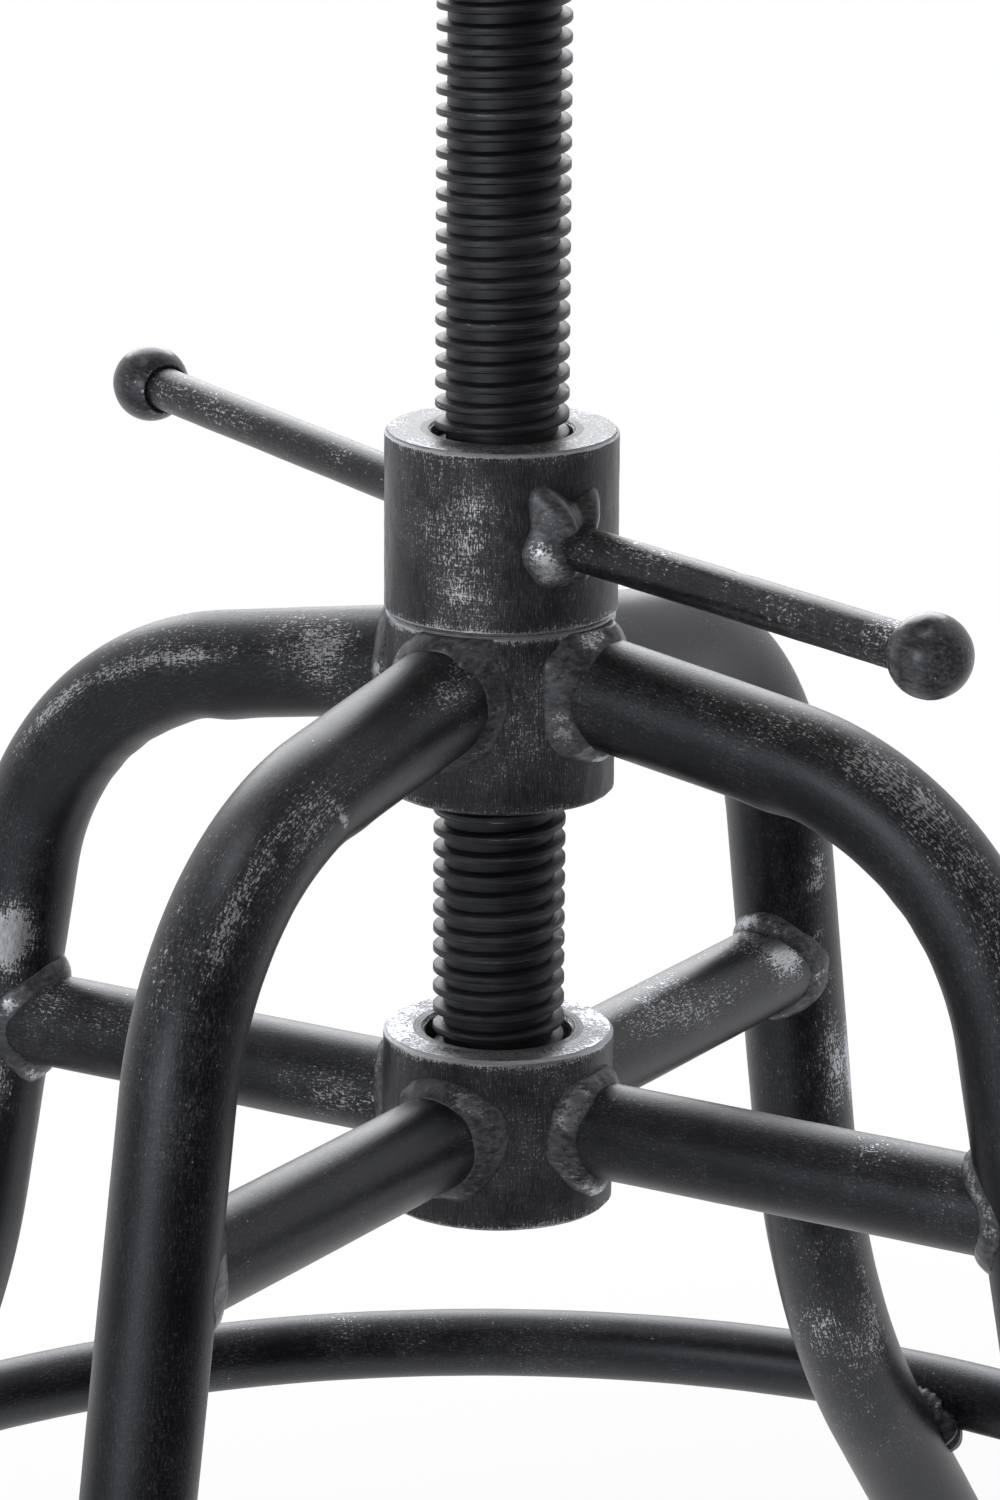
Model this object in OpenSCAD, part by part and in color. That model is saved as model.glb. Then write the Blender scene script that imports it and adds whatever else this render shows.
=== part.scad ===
// Height-adjustable saddle bar stool: a base of four bent tube legs, a screw spindle that a
// T-bar nut raises and lowers, and a carved wooden saddle seat that swivels on the spindle.
// Sizes are in millimetres. The origin is on the floor below the spindle, and +Z is up.
// The seat is drawn fully raised, with its front towards -Y.

/* [Heights] */
// Height of the upper hub's top face above the floor
hub_top = 415; // [380:5:480]
// Height of the seat's highest point above the floor when it is fully raised
seat_top = 820; // [790:5:880]
// Thread that is left above the nut when the seat is fully lowered
thread_spare = 29; // [10:1:60]
// Room that is left under the spindle when the seat is fully lowered
floor_room = 75; // [40:1:120]

/* [Hubs] */
// Outer diameter of the upper hub
upper_hub_d = 55; // [50:0.5:64]
// Height of the upper hub
upper_hub_h = 44; // [40:1:60]
// Outer diameter of the lower hub
lower_hub_d = 56; // [50:0.5:64]
// Height of the lower hub
lower_hub_h = 43; // [34:1:60]
// Depth of the lower hub's top face below the upper hub's top face
lower_hub_drop = 105; // [95:1:125]
// Chamfer on the rims of the hubs and of the nut
rim_chamfer = 0.8; // [0.4:0.1:1.5]
// Radial clearance of the spindle in the upper hub
upper_guide_clearance = 0.5; // [0.2:0.1:1]
// Radial clearance of the spindle in the lower hub
lower_guide_clearance = 2; // [0.5:0.1:3]

/* [Legs] */
// Outer diameter of the leg tube
leg_d = 26.9; // [22:0.1:30]
// Wall of the leg tube
leg_wall = 2.3; // [1.5:0.1:3.2]
// Direction of the first leg, seen from above
first_leg_azimuth = 45; // [30:1:60]
// Depth of the leg's axis below the upper hub's top face, at the hub's wall
leg_entry_drop = 16.8; // [15:0.1:20]
// Slope of the leg where it leaves the hub
leg_top_slope = 9.3; // [0:0.1:15]
// Straight run from the hub's wall to the shoulder bend
leg_top_run = 52; // [35:1:70]
// Centreline radius of the shoulder bend
shoulder_bend_r = 74; // [60:1:90]
// Slope of the leg between its two bends
leg_upright_slope = 79.3; // [74:0.1:84]
// Straight run between the two bends
leg_upright_run = 91.4; // [80:0.2:110]
// Centreline radius of the outward bend
flare_bend_r = 218; // [180:1:240]
// Slope of the leg at the floor
leg_foot_slope = 50.2; // [46:0.1:60]

/* [Braces and foot ring] */
// Outer diameter of the brace tube
brace_d = 23.5; // [18:0.1:25]
// Wall of the brace tube
brace_wall = 2; // [1.2:0.1:3]
// Depth of the braces' axis below the upper hub's top face
brace_drop = 126.3; // [122:0.1:132]
// Outer diameter of the foot ring's tube
ring_tube_d = 19; // [14:0.5:24]
// Wall of the foot ring's tube
ring_wall = 1.8; // [1.2:0.1:2.6]
// Depth of the foot ring's centreline below the upper hub's top face
ring_drop = 275.4; // [270:0.2:300]
// Gap between the foot ring and a leg, filled by the weld
ring_root_gap = 0.3; // [0.2:0.05:0.5]

/* [Weld beads] */
// Size of the beads between the legs and the upper hub
leg_bead = 5; // [3:0.5:6]
// Size of the beads at both ends of the braces
brace_bead = 4.5; // [3:0.5:6]
// Size of the beads between the foot ring and the legs
ring_bead = 4; // [2.5:0.5:5]
// Size of the beads between the T-bar rods and the nut
rod_bead = 4.5; // [2.5:0.5:5.5]
// Size of the bead between the seat socket and its plate
socket_bead = 4; // [2.5:0.5:6]

/* [Foot caps] */
// Wall of a foot cap round the leg
foot_cap_wall = 2.5; // [1.5:0.1:4]
// Thickness of a foot cap's sole
foot_sole = 5; // [3:0.5:8]
// Length of a foot cap along the leg
foot_cap_length = 34; // [26:1:45]
// Radial clearance of a foot cap on the leg
foot_cap_clearance = 0.05; // [0.02:0.01:0.1]

/* [Spindle] */
// Diameter of the spindle over its thread
spindle_d = 32; // [28:0.5:34]
// Depth of the spindle's lower end below the upper hub's top face
spindle_drop = 140; // [112:1:146]
// Chamfer on the spindle's lower end
spindle_chamfer = 2.5; // [1:0.5:4]
// Diameter of the journal that the seat swivels on
journal_d = 24; // [18:0.5:26]
// Length of the plain head between the thread and the journal
spindle_head_h = 12; // [8:1:20]
// Height of the groove where the thread ends
thread_relief_h = 6; // [4:0.5:8]
// Depth of the groove where the thread ends
thread_relief_depth = 3; // [2:0.1:4]

/* [T-bar nut] */
// Outer diameter of the nut
nut_d = 56; // [50:0.5:64]
// Height of the nut
nut_h = 44; // [36:1:56]
// Radial clearance of the nut on the spindle
nut_clearance = 0.05; // [0.02:0.01:0.1]
// Radial clearance of the nut's open mouth round the spindle
nut_mouth_clearance = 1; // [0.5:0.1:2]
// Depth of the nut's open mouth
nut_mouth_depth = 7; // [3:0.5:10]
// Diameter of the T-bar rods
rod_d = 11; // [8:0.5:14]
// Height of the rods' axis above the nut's lower face, at the spindle's axis
rod_height = 20.6; // [14:0.2:26]
// Upward tilt of the rods
rod_tilt = 1.2; // [0:0.1:5]
// Direction of the first rod, seen from above
rod_azimuth = -68.6; // [-180:0.2:180]
// Angle from the first rod round to the second
rod_spread = 178.4; // [170:0.2:190]
// Distance from the spindle's axis to the centre of each ball end
ball_reach = 163; // [120:1:200]
// Diameter of the ball ends
ball_d = 19.5; // [16:0.5:26]
// Distance of a ball's turned flat from its centre, as a share of the ball's diameter
ball_flat_share = 0.42; // [0.36:0.01:0.45]
// Depth of the rod in its ball end
ball_socket_depth = 11; // [6:0.5:13]

/* [Seat fittings] */
// Outer diameter of the seat socket
socket_d = 46; // [40:1:56]
// Length of the seat socket below the plate
socket_h = 60; // [40:1:80]
// Radial clearance of the seat socket on the journal
socket_clearance = 0.05; // [0.02:0.01:0.1]
// Diameter of the seat plate
plate_d = 170; // [140:5:200]
// Thickness of the seat plate
plate_t = 4; // [3:0.5:6]
// Thickness of the thrust washer
thrust_washer_t = 2; // [1:0.5:4]
// Thickness of the retaining washer
retaining_washer_t = 3; // [2:0.5:4]
// Diameter of the retaining washer
retaining_washer_d = 38; // [32:1:42]
// Gap between the seat plate and the retaining washer
retaining_gap = 0.3; // [0.1:0.05:0.5]
// Shank diameter of the retaining screw
retaining_screw_d = 10; // [8:1:12]
// Diameter of the circle of seat screws
screw_circle_d = 136; // [110:1:150]
// Shank diameter of the seat screws
seat_screw_d = 6; // [4:0.5:8]
// Length of the seat screws in the wood
seat_screw_bite = 18; // [10:1:20]
// Clearance of the seat screws in the plate
screw_clearance = 0.3; // [0.2:0.1:0.6]

/* [Saddle seat] */
// Width of the seat
seat_w = 400; // [340:5:440]
// Depth of the seat from front to back
seat_depth = 350; // [300:5:400]
// Thickness of the seat at its back rim
seat_t = 48; // [42:1:60]
// Depth of the two thigh scoops
scoop_depth = 17; // [6:0.5:20]
// Depth of the shared hollow between the rims
dish_depth = 6; // [0:0.5:8]
// Drop of the front edge beside the pommel
front_drop = 10; // [0:0.5:14]
// Radius of the seat's upper edge
edge_round = 8; // [4:0.5:10]
// How far the seat's lower edge is cut back to the flat underside
undercut_run = 34; // [10:1:40]
// Height of the cut under the seat's edge, as a share of the edge
undercut_share = 0.8; // [0.5:0.05:0.9]
// How far the pommel stands forward of the front edge
pommel_reach = 24; // [0:1:30]
// How far the front edge is drawn back on each side of the pommel
thigh_relief = 10; // [0:1:14]

/* [Hidden] */
$fn = 96;

black_steel = "#26272b";
worn_steel = "#3a3b40";
bead_steel = "#4c4d52";
zinc = "#b4b6ba";
rubber = "#17181a";
nylon = "#d8d4c8";
oak = "#9a6b3f";

leg_count = 4;
leg_step = 360 / leg_count;
leg_r = leg_d / 2;
brace_r = brace_d / 2;
ring_tube_r = ring_tube_d / 2;
past = 1;
// The bender draws the tube a hair thinner, and each straight runs a little way into its bends
bend_draw = 0.1;
bend_lap = 0.5;
// A bar that is coped to a hub is drawn from this share of the hub's radius outwards
root_share = 0.5;
// Small edges that several turned pieces share
edge_chamfer = 1;
plate_chamfer = 0.8;
socket_chamfer = 2;

// Points along a leg's centreline, as [distance from the axis, height]
function heading(slope) = [cos(slope), -sin(slope)];
function below(slope) = [-sin(slope), -cos(slope)];
hub_wall_point = [upper_hub_d / 2, hub_top - leg_entry_drop];
shoulder_start = hub_wall_point + leg_top_run * heading(leg_top_slope);
shoulder_centre = shoulder_start + shoulder_bend_r * below(leg_top_slope);
shoulder_end = shoulder_centre - shoulder_bend_r * below(leg_upright_slope);
flare_start = shoulder_end + leg_upright_run * heading(leg_upright_slope);
flare_centre = flare_start - flare_bend_r * below(leg_upright_slope);
flare_end = flare_centre + flare_bend_r * below(leg_foot_slope);
floor_point = flare_end + flare_end[1] / sin(leg_foot_slope) * heading(leg_foot_slope);
leg_start = hub_wall_point - (1 - root_share) * upper_hub_d / 2 * heading(leg_top_slope);

// The foot ring lies against the outer side of the legs' lower straights
ring_z = hub_top - ring_drop;
ring_stand_off = leg_r + ring_tube_r + ring_root_gap;
ring_r = flare_end[0] + (flare_end[1] - ring_z) / tan(leg_foot_slope) + ring_stand_off / sin(leg_foot_slope);

lower_hub_top = hub_top - lower_hub_drop;
lower_hub_bottom = lower_hub_top - lower_hub_h;
brace_z = hub_top - brace_drop;
brace_leg_r = shoulder_end[0] + (shoulder_end[1] - brace_z) / tan(leg_upright_slope);

// Heights from the seat down to the spindle's thread
seat_bottom = seat_top - seat_t;
plate_bottom = seat_bottom - plate_t;
socket_bottom = plate_bottom - socket_h;
journal_foot = socket_bottom - thrust_washer_t;
journal_top = seat_bottom + retaining_gap;
thread_top = journal_foot - spindle_head_h - thread_relief_h;
spindle_bottom = hub_top - spindle_drop;
nut_top = hub_top + nut_h;
spindle_length = journal_top - spindle_bottom;
// How far the seat can be lowered: the nut stays on the thread, and the spindle stays off the floor
seat_travel = min(thread_top - nut_top - thread_spare, spindle_bottom - floor_room);
assert(seat_travel > 0, "the seat can't be lowered");

screw_head_h = 0.6 * seat_screw_d;
screw_head_d = 2 * seat_screw_d;
retaining_head_h = 0.6 * retaining_screw_d;
retaining_head_d = 1.8 * retaining_screw_d;
retaining_bite = 3 * retaining_screw_d;
recess_clearance = 3;
// The tapped hole goes past the screw's tip, and the thrust washer stays inside the socket's rim
drill_point = 3;
washer_inset = 3;
washer_clearance = 0.1;

// A straight round bar in the leg's plane, from point a along the slope
module bar(a, slope, length, r) {
    translate([a[0], 0, a[1]]) rotate([0, 90 + slope, 0]) cylinder(h = length, r = r);
}

// A bent round bar in the leg's plane, from one angle round the bend's centre to another
module bend(centre, bend_r, from, to, r) {
    translate([centre[0], 0, centre[1]]) rotate([90, 0, 0]) rotate([0, 0, from])
        rotate_extrude(angle = to - from) translate([bend_r, 0]) circle(r = r - bend_draw);
}

// The leg's path as a solid bar, from inside the hub to below the floor
module leg_bar(r, extra = 0) {
    start = leg_start - extra * heading(leg_top_slope);
    union() {
        bar(start, leg_top_slope, norm(shoulder_start - start) + bend_lap, r);
        bend(shoulder_centre, shoulder_bend_r, 90 - leg_upright_slope, 90 - leg_top_slope, r);
        bar(shoulder_end - bend_lap * heading(leg_upright_slope), leg_upright_slope,
            leg_upright_run + 2 * bend_lap, r);
        bend(flare_centre, flare_bend_r, -90 - leg_upright_slope, -90 - leg_foot_slope, r);
        bar(flare_end - bend_lap * heading(leg_foot_slope), leg_foot_slope,
            norm(floor_point - flare_end) + leg_d + extra, r);
    }
}

// Everything below a height, for cutting a foot flat
module floor_cut(z) {
    translate([floor_point[0] - 4 * leg_d, -2 * leg_d, z - 4 * leg_d])
        cube([8 * leg_d, 4 * leg_d, 4 * leg_d]);
}

module at_leg(i) {
    rotate([0, 0, first_leg_azimuth + (i - 1) * leg_step]) children();
}

// A thick-walled sleeve with chamfered rims
module sleeve(d, bore, h) {
    c = rim_chamfer;
    rotate_extrude() polygon([
        [bore / 2 + c, 0], [d / 2 - c, 0], [d / 2, c], [d / 2, h - c],
        [d / 2 - c, h], [bore / 2 + c, h], [bore / 2, h - c], [bore / 2, c]
    ]);
}

module upper_hub() {
    color(worn_steel) translate([0, 0, hub_top - upper_hub_h])
        sleeve(upper_hub_d, spindle_d + 2 * upper_guide_clearance, upper_hub_h);
}

module lower_hub() {
    color(worn_steel) translate([0, 0, lower_hub_bottom])
        sleeve(lower_hub_d, spindle_d + 2 * lower_guide_clearance, lower_hub_h);
}

// The wall of a hub, as a bar longer than the hub
module hub_core(d, top, h) {
    translate([0, 0, top - 2 * h]) cylinder(h = 3 * h, d = d);
}

module leg(i) {
    color(black_steel) at_leg(i) difference() {
        leg_bar(leg_r);
        leg_bar(leg_r - leg_wall, past);
        hub_core(upper_hub_d, hub_top, upper_hub_h);
        floor_cut(foot_sole);
    }
}

module brace_bar(r, from = 0, to = 0) {
    start = root_share * lower_hub_d / 2 - from;
    bar([start, brace_z], 0, brace_leg_r + to - start, r);
}

// The leg's outer skin round the brace, without its bends
module upright_bar(grow = 0) {
    bar(shoulder_end, leg_upright_slope, leg_upright_run, leg_r + grow);
}

module brace(i) {
    color(black_steel) at_leg(i) difference() {
        brace_bar(brace_r);
        brace_bar(brace_r - brace_wall, past, past);
        hub_core(lower_hub_d, lower_hub_top, lower_hub_h);
        upright_bar();
    }
}

module ring_solid(r) {
    translate([0, 0, ring_z]) rotate_extrude() translate([ring_r, 0]) circle(r = r);
}

module foot_ring() {
    color(black_steel) difference() {
        ring_solid(ring_tube_r);
        ring_solid(ring_tube_r - ring_wall);
    }
}

// A bead's sloping flank round a bar at the origin that runs along +X. It falls at 45 degrees
// from the root to the bar's skin at the toe, and ends a little inside the bar.
module bead_flank(root, toe, r) {
    translate([root, 0, 0]) rotate([0, 90, 0])
        cylinder(h = toe - root + past, r1 = r + toe - root, r2 = r - past);
}

// A bead round a bar along +X, where it meets the round wall of a hub
module hub_bead(wall_r, bead, r) {
    root = root_share * wall_r;
    intersection() {
        bead_flank(root, wall_r + bead, r);
        translate([root + past, 0, 0]) rotate([0, 90, 0]) cylinder(h = wall_r, r = r + bead);
    }
}

module upper_hub_welds() {
    wall_r = upper_hub_d / 2;
    color(bead_steel) for (i = [1 : leg_count]) at_leg(i) difference() {
        intersection() {
            translate([wall_r, 0, hub_wall_point[1]]) rotate([0, leg_top_slope, 0])
                translate([-wall_r, 0, 0]) hub_bead(wall_r, leg_bead, leg_r);
            translate([0, 0, hub_top - upper_hub_h + past / 2])
                cylinder(h = upper_hub_h - past, d = 2 * upper_hub_d);
        }
        bar(leg_start, leg_top_slope, 2 * upper_hub_d, leg_r);
        hub_core(upper_hub_d, hub_top, upper_hub_h);
    }
}

module lower_hub_welds() {
    color(bead_steel) for (i = [1 : leg_count]) at_leg(i) difference() {
        translate([0, 0, brace_z]) hub_bead(lower_hub_d / 2, brace_bead, brace_r);
        brace_bar(brace_r);
        hub_core(lower_hub_d, lower_hub_top, lower_hub_h);
    }
}

module brace_leg_welds() {
    color(bead_steel) for (i = [1 : leg_count]) at_leg(i) difference() {
        intersection() {
            upright_bar(brace_bead);
            brace_bar(brace_r + brace_bead);
        }
        brace_bar(brace_r, 0, past);
        upright_bar();
        translate([brace_leg_r, -leg_d, brace_z - leg_d]) cube(2 * leg_d);
    }
}

module foot_ring_welds() {
    color(bead_steel) for (i = [1 : leg_count]) at_leg(i) difference() {
        intersection() {
            bar(flare_end, leg_foot_slope, norm(floor_point - flare_end), leg_r + ring_bead);
            ring_solid(ring_tube_r + ring_bead);
        }
        bar(flare_end - leg_d * heading(leg_foot_slope), leg_foot_slope, norm(floor_point), leg_r);
        ring_solid(ring_tube_r);
    }
}

module foot_cap(i) {
    fit_r = leg_r + foot_cap_clearance;
    cap_r = fit_r + foot_cap_wall;
    cap_start = floor_point - foot_cap_length * heading(leg_foot_slope);
    color(rubber) at_leg(i) difference() {
        bar(cap_start, leg_foot_slope, 2 * foot_cap_length, cap_r);
        difference() {
            bar(cap_start - past * heading(leg_foot_slope), leg_foot_slope, 2 * foot_cap_length, fit_r);
            floor_cut(foot_sole);
        }
        floor_cut(0);
    }
}

module adjuster_nut() {
    bore = spindle_d + 2 * nut_clearance;
    mouth = spindle_d + 2 * nut_mouth_clearance;
    color(worn_steel) translate([0, 0, hub_top]) difference() {
        sleeve(nut_d, bore, nut_h);
        translate([0, 0, nut_h - nut_mouth_depth]) cylinder(h = nut_mouth_depth + past, d = mouth);
    }
}

// Places a child drawn along +X at the axis of T-bar rod i
module at_rod(i) {
    translate([0, 0, hub_top + rod_height]) rotate([0, 0, rod_azimuth + (i - 1) * rod_spread])
        rotate([0, -rod_tilt, 0]) children();
}

module nut_core() {
    translate([0, 0, hub_top - nut_h]) cylinder(h = 3 * nut_h, d = nut_d);
}

// Each ball end is turned flat where its rod enters
ball_centre = ball_reach / cos(rod_tilt);
ball_face = ball_centre - ball_flat_share * ball_d;
rod_start = root_share * nut_d / 2;
rod_end = ball_face + ball_socket_depth;

module rod_bar(r, from, to) {
    translate([from, 0, 0]) rotate([0, 90, 0]) cylinder(h = to - from, r = r);
}

module handle_rod(i) {
    color(black_steel) difference() {
        at_rod(i) rod_bar(rod_d / 2, rod_start, rod_end);
        nut_core();
    }
}

module handle_ball(i) {
    color(worn_steel) at_rod(i) difference() {
        intersection() {
            translate([ball_centre, 0, 0]) sphere(d = ball_d);
            rod_bar(ball_d, ball_face, ball_centre + ball_d);
        }
        rod_bar(rod_d / 2, rod_start, rod_end);
    }
}

module handle_welds() {
    color(bead_steel) for (i = [1 : 2]) difference() {
        at_rod(i) hub_bead(nut_d / 2, rod_bead, rod_d / 2);
        at_rod(i) rod_bar(rod_d / 2, rod_start, nut_d);
        nut_core();
    }
}

module spindle() {
    r = spindle_d / 2;
    c = spindle_chamfer;
    e = edge_chamfer;
    groove = r - thread_relief_depth;
    groove_z = thread_top - spindle_bottom;
    shoulder_z = journal_foot - spindle_bottom;
    head_z = shoulder_z - spindle_head_h;
    journal_r = journal_d / 2;
    hole_depth = retaining_bite + drill_point;
    color(black_steel) translate([0, 0, spindle_bottom]) difference() {
        rotate_extrude() polygon([
            [0, 0], [r - c, 0], [r, c], [r, groove_z], [groove, groove_z + e], [groove, head_z],
            [r, head_z], [r, shoulder_z - e], [r - e, shoulder_z], [journal_r, shoulder_z],
            [journal_r, spindle_length - e], [journal_r - e, spindle_length], [0, spindle_length]
        ]);
        translate([0, 0, spindle_length - hole_depth]) cylinder(h = hole_depth + past, d = retaining_screw_d);
    }
}

// A flat ring
module washer(d, bore, t) {
    difference() {
        cylinder(h = t, d = d);
        translate([0, 0, -past]) cylinder(h = t + 2 * past, d = bore);
    }
}

module thrust_washer() {
    color(nylon) translate([0, 0, journal_foot])
        washer(socket_d - 2 * washer_inset, journal_d + 2 * washer_clearance, thrust_washer_t);
}

module retaining_washer() {
    color(zinc) translate([0, 0, journal_top])
        washer(retaining_washer_d, retaining_screw_d + 2 * screw_clearance, retaining_washer_t);
}

// A screw with a domed head at the origin and its shank towards +Z, along the given length
module domed_screw(d, head_d, head_h, length) {
    rim_h = head_h / 3;
    dome_h = head_h - rim_h;
    tip = d / 4;
    key_d = 0.55 * d;
    key_h = 0.6 * head_h;
    difference() {
        rotate_extrude() polygon(concat(
            [[0, -head_h]],
            [for (a = [10 : 10 : 80]) [head_d / 2 * sin(a), -rim_h - dome_h * cos(a)]],
            [[head_d / 2, -rim_h], [head_d / 2, 0], [d / 2, 0],
             [d / 2, length - tip], [tip, length], [0, length]]
        ));
        translate([0, 0, -head_h - past]) cylinder(h = key_h + past, d = key_d, $fn = 6);
    }
}

module retaining_screw() {
    length = retaining_bite + retaining_washer_t;
    color(zinc) translate([0, 0, journal_top + retaining_washer_t]) rotate([180, 0, 0])
        domed_screw(retaining_screw_d, retaining_head_d, retaining_head_h, length);
}

socket_bore_r = journal_d / 2 + socket_clearance;

module seat_socket() {
    e = edge_chamfer;
    c = socket_chamfer;
    color(worn_steel) translate([0, 0, socket_bottom]) rotate_extrude() polygon([
        [socket_bore_r, e], [socket_bore_r + e, 0], [socket_d / 2 - c, 0], [socket_d / 2, c],
        [socket_d / 2, socket_h], [socket_bore_r, socket_h]
    ]);
}

module seat_plate() {
    r = plate_d / 2;
    c = plate_chamfer;
    color(worn_steel) translate([0, 0, plate_bottom]) difference() {
        rotate_extrude() polygon([
            [socket_bore_r, 0], [r - c, 0], [r, c], [r, plate_t], [socket_bore_r, plate_t]
        ]);
        at_screws() translate([0, 0, -past])
            cylinder(h = plate_t + 2 * past, d = seat_screw_d + 2 * screw_clearance);
    }
}

// The bead's face bulges a little between its two toes
module seat_socket_weld() {
    face = [[0, -1], [0.4, -0.75], [0.75, -0.4], [1, 0]];
    color(bead_steel) translate([0, 0, plate_bottom]) rotate_extrude() translate([socket_d / 2, 0])
        polygon(concat([[0, 0]], socket_bead * face));
}

module at_screws() {
    for (i = [1 : leg_count]) rotate([0, 0, 45 + i * 90]) translate([screw_circle_d / 2, 0, 0]) children();
}

module seat_screws() {
    color(zinc) translate([0, 0, plate_bottom]) at_screws()
        domed_screw(seat_screw_d, screw_head_d, screw_head_h, plate_t + seat_screw_bite);
}

// Shape of the seat: u runs from -1 at its left to 1 at its right, v from -1 in front to 1 behind.
// A bump is 1 at its middle and fades to nothing at its width.
function fade(a, b, t) = let (s = min(1, max(0, (t - a) / (b - a)))) s * s * (3 - 2 * s);
function bump(t, width) = pow(max(0, 1 - pow(t / width, 2)), 2);

// Outline of the seat at an angle round its centre: a rounded square that narrows in front,
// where the pommel stands forward between the two thigh reliefs
seat_squareness = 2.6;
front_narrowing = 0.1;
pommel_width = 0.6;
relief_middle = 0.62;
relief_width = 0.5;
function outline_r(a) =
    pow(pow(abs(cos(a)) / (seat_w / 2), seat_squareness) +
        pow(abs(sin(a)) / (seat_depth / 2), seat_squareness), -1 / seat_squareness);
function front_edge(u) =
    pommel_reach * bump(u, pommel_width) - thigh_relief * bump(abs(u) - relief_middle, relief_width);
function outline(a) =
    let (r = outline_r(a), x = r * cos(a), y = r * sin(a), u = 2 * x / seat_w, v = 2 * y / seat_depth)
    [x * (1 - front_narrowing * fade(0.1, -1, v)), y - fade(0, -1, v) * front_edge(u)];

// Height of the seat's top above its underside: two hollows that meet behind and part in front,
// leaving a ridge between them that runs out to the pommel. The front edge rolls down beside it.
ridge_round = 0.07;
ridge_width = 0.35;
scoop_width = 0.5;
dish_middle = 0.15;
dish_size = [0.95, 0.85];
function scoop_middle(v) = 0.24 + 0.26 * fade(0.7, -0.9, v);
function scoop_share(v) = fade(0.95, 0.3, v) * (1 - 0.45 * fade(0, -1, v));
function seat_height(x, y) =
    let (u = norm([2 * x / seat_w, ridge_round]), v = 2 * y / seat_depth)
    seat_t
    - scoop_depth * scoop_share(v) * bump(u - scoop_middle(v), scoop_width)
    - dish_depth * bump(u, dish_size[0]) * bump(v - dish_middle, dish_size[1])
    - front_drop * fade(0, -1.1, v) * (1 - 0.55 * bump(u, ridge_width));

seat_sides = 72;
top_rings = 14;
edge_steps = 5;

// The seat's edge: a small round on top, then a long round that cuts under to the flat underside.
// Each point is [distance in from the outline, height].
function edge_point(k, h) =
    let (turn = 90 * (k % (edge_steps + 1)) / edge_steps)
    k <= edge_steps ? [edge_round * (1 - sin(turn)), h - edge_round * (1 - cos(turn))]
                    : [undercut_run * (1 - cos(turn)), (h - edge_round) * undercut_share * (1 - sin(turn))];

// One ring of the seat's skin: shrunk copies of the outline on top, then those of the edge
function top_ring(k) = [for (j = [0 : seat_sides - 1])
    let (o = outline(360 * j / seat_sides), s = k / top_rings * (1 - edge_round / norm(o)))
    [o[0] * s, o[1] * s, seat_height(o[0] * s, o[1] * s)]];
function edge_ring(k) = [for (j = [0 : seat_sides - 1])
    let (o = outline(360 * j / seat_sides), s = 1 - edge_round / norm(o),
        e = edge_point(k, seat_height(o[0] * s, o[1] * s)), t = 1 - e[0] / norm(o))
    [o[0] * t, o[1] * t, e[1]]];

seat_rings = concat([for (k = [1 : top_rings]) top_ring(k)],
                    [for (k = [1 : 2 * edge_steps + 1]) edge_ring(k)]);
seat_points = concat([[0, 0, seat_height(0, 0)]], [for (ring = seat_rings) each ring]);
function ring_point(k, j) = 1 + k * seat_sides + j % seat_sides;
seat_faces = concat(
    [for (j = [0 : seat_sides - 1]) [0, ring_point(0, j + 1), ring_point(0, j)]],
    [for (k = [0 : len(seat_rings) - 2], j = [0 : seat_sides - 1], half = [0, 1])
        half == 0 ? [ring_point(k, j), ring_point(k, j + 1), ring_point(k + 1, j + 1)]
                  : [ring_point(k, j), ring_point(k + 1, j + 1), ring_point(k + 1, j)]],
    [[for (j = [0 : seat_sides - 1]) ring_point(len(seat_rings) - 1, j)]]
);

module saddle_seat() {
    recess_h = retaining_gap + retaining_washer_t + retaining_head_h + recess_clearance;
    color(oak) translate([0, 0, seat_bottom]) difference() {
        polyhedron(points = seat_points, faces = seat_faces, convexity = 4);
        translate([0, 0, -past]) cylinder(h = recess_h + past, d = retaining_washer_d + 2 * recess_clearance);
        at_screws() translate([0, 0, -past]) cylinder(h = seat_screw_bite + 2 + past, d = seat_screw_d);
    }
}

upper_hub();
lower_hub();
leg(1);  // leg_1
leg(2);  // leg_2
leg(3);  // leg_3
leg(4);  // leg_4
brace(1);  // brace_1
brace(2);  // brace_2
brace(3);  // brace_3
brace(4);  // brace_4
foot_ring();
upper_hub_welds();
lower_hub_welds();
brace_leg_welds();
foot_ring_welds();
foot_cap(1);  // foot_cap_1
foot_cap(2);  // foot_cap_2
foot_cap(3);  // foot_cap_3
foot_cap(4);  // foot_cap_4
adjuster_nut();
handle_rod(1);  // handle_rod_1
handle_rod(2);  // handle_rod_2
handle_ball(1);  // handle_ball_1
handle_ball(2);  // handle_ball_2
handle_welds();
spindle();
retaining_washer();
retaining_screw();
thrust_washer();
seat_socket();
seat_plate();
seat_socket_weld();
seat_screws();
saddle_seat();
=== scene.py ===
"""Saddle bar stool: the dressed model for rendering.

The stool's base is four bent tube legs welded to an upper hub, with braces to a lower hub and a
foot ring round them. A T-bar nut on the upper hub raises a screw spindle, and a carved wooden
saddle seat swivels on the spindle's top. Sizes are in millimetres and become metres in the meshes.
"""
import logging
import math
from dataclasses import dataclass, field, replace
from enum import Enum, IntEnum
from functools import cache, cached_property
from typing import Sequence

import bpy
import numpy as np
from mathutils import Matrix


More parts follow.
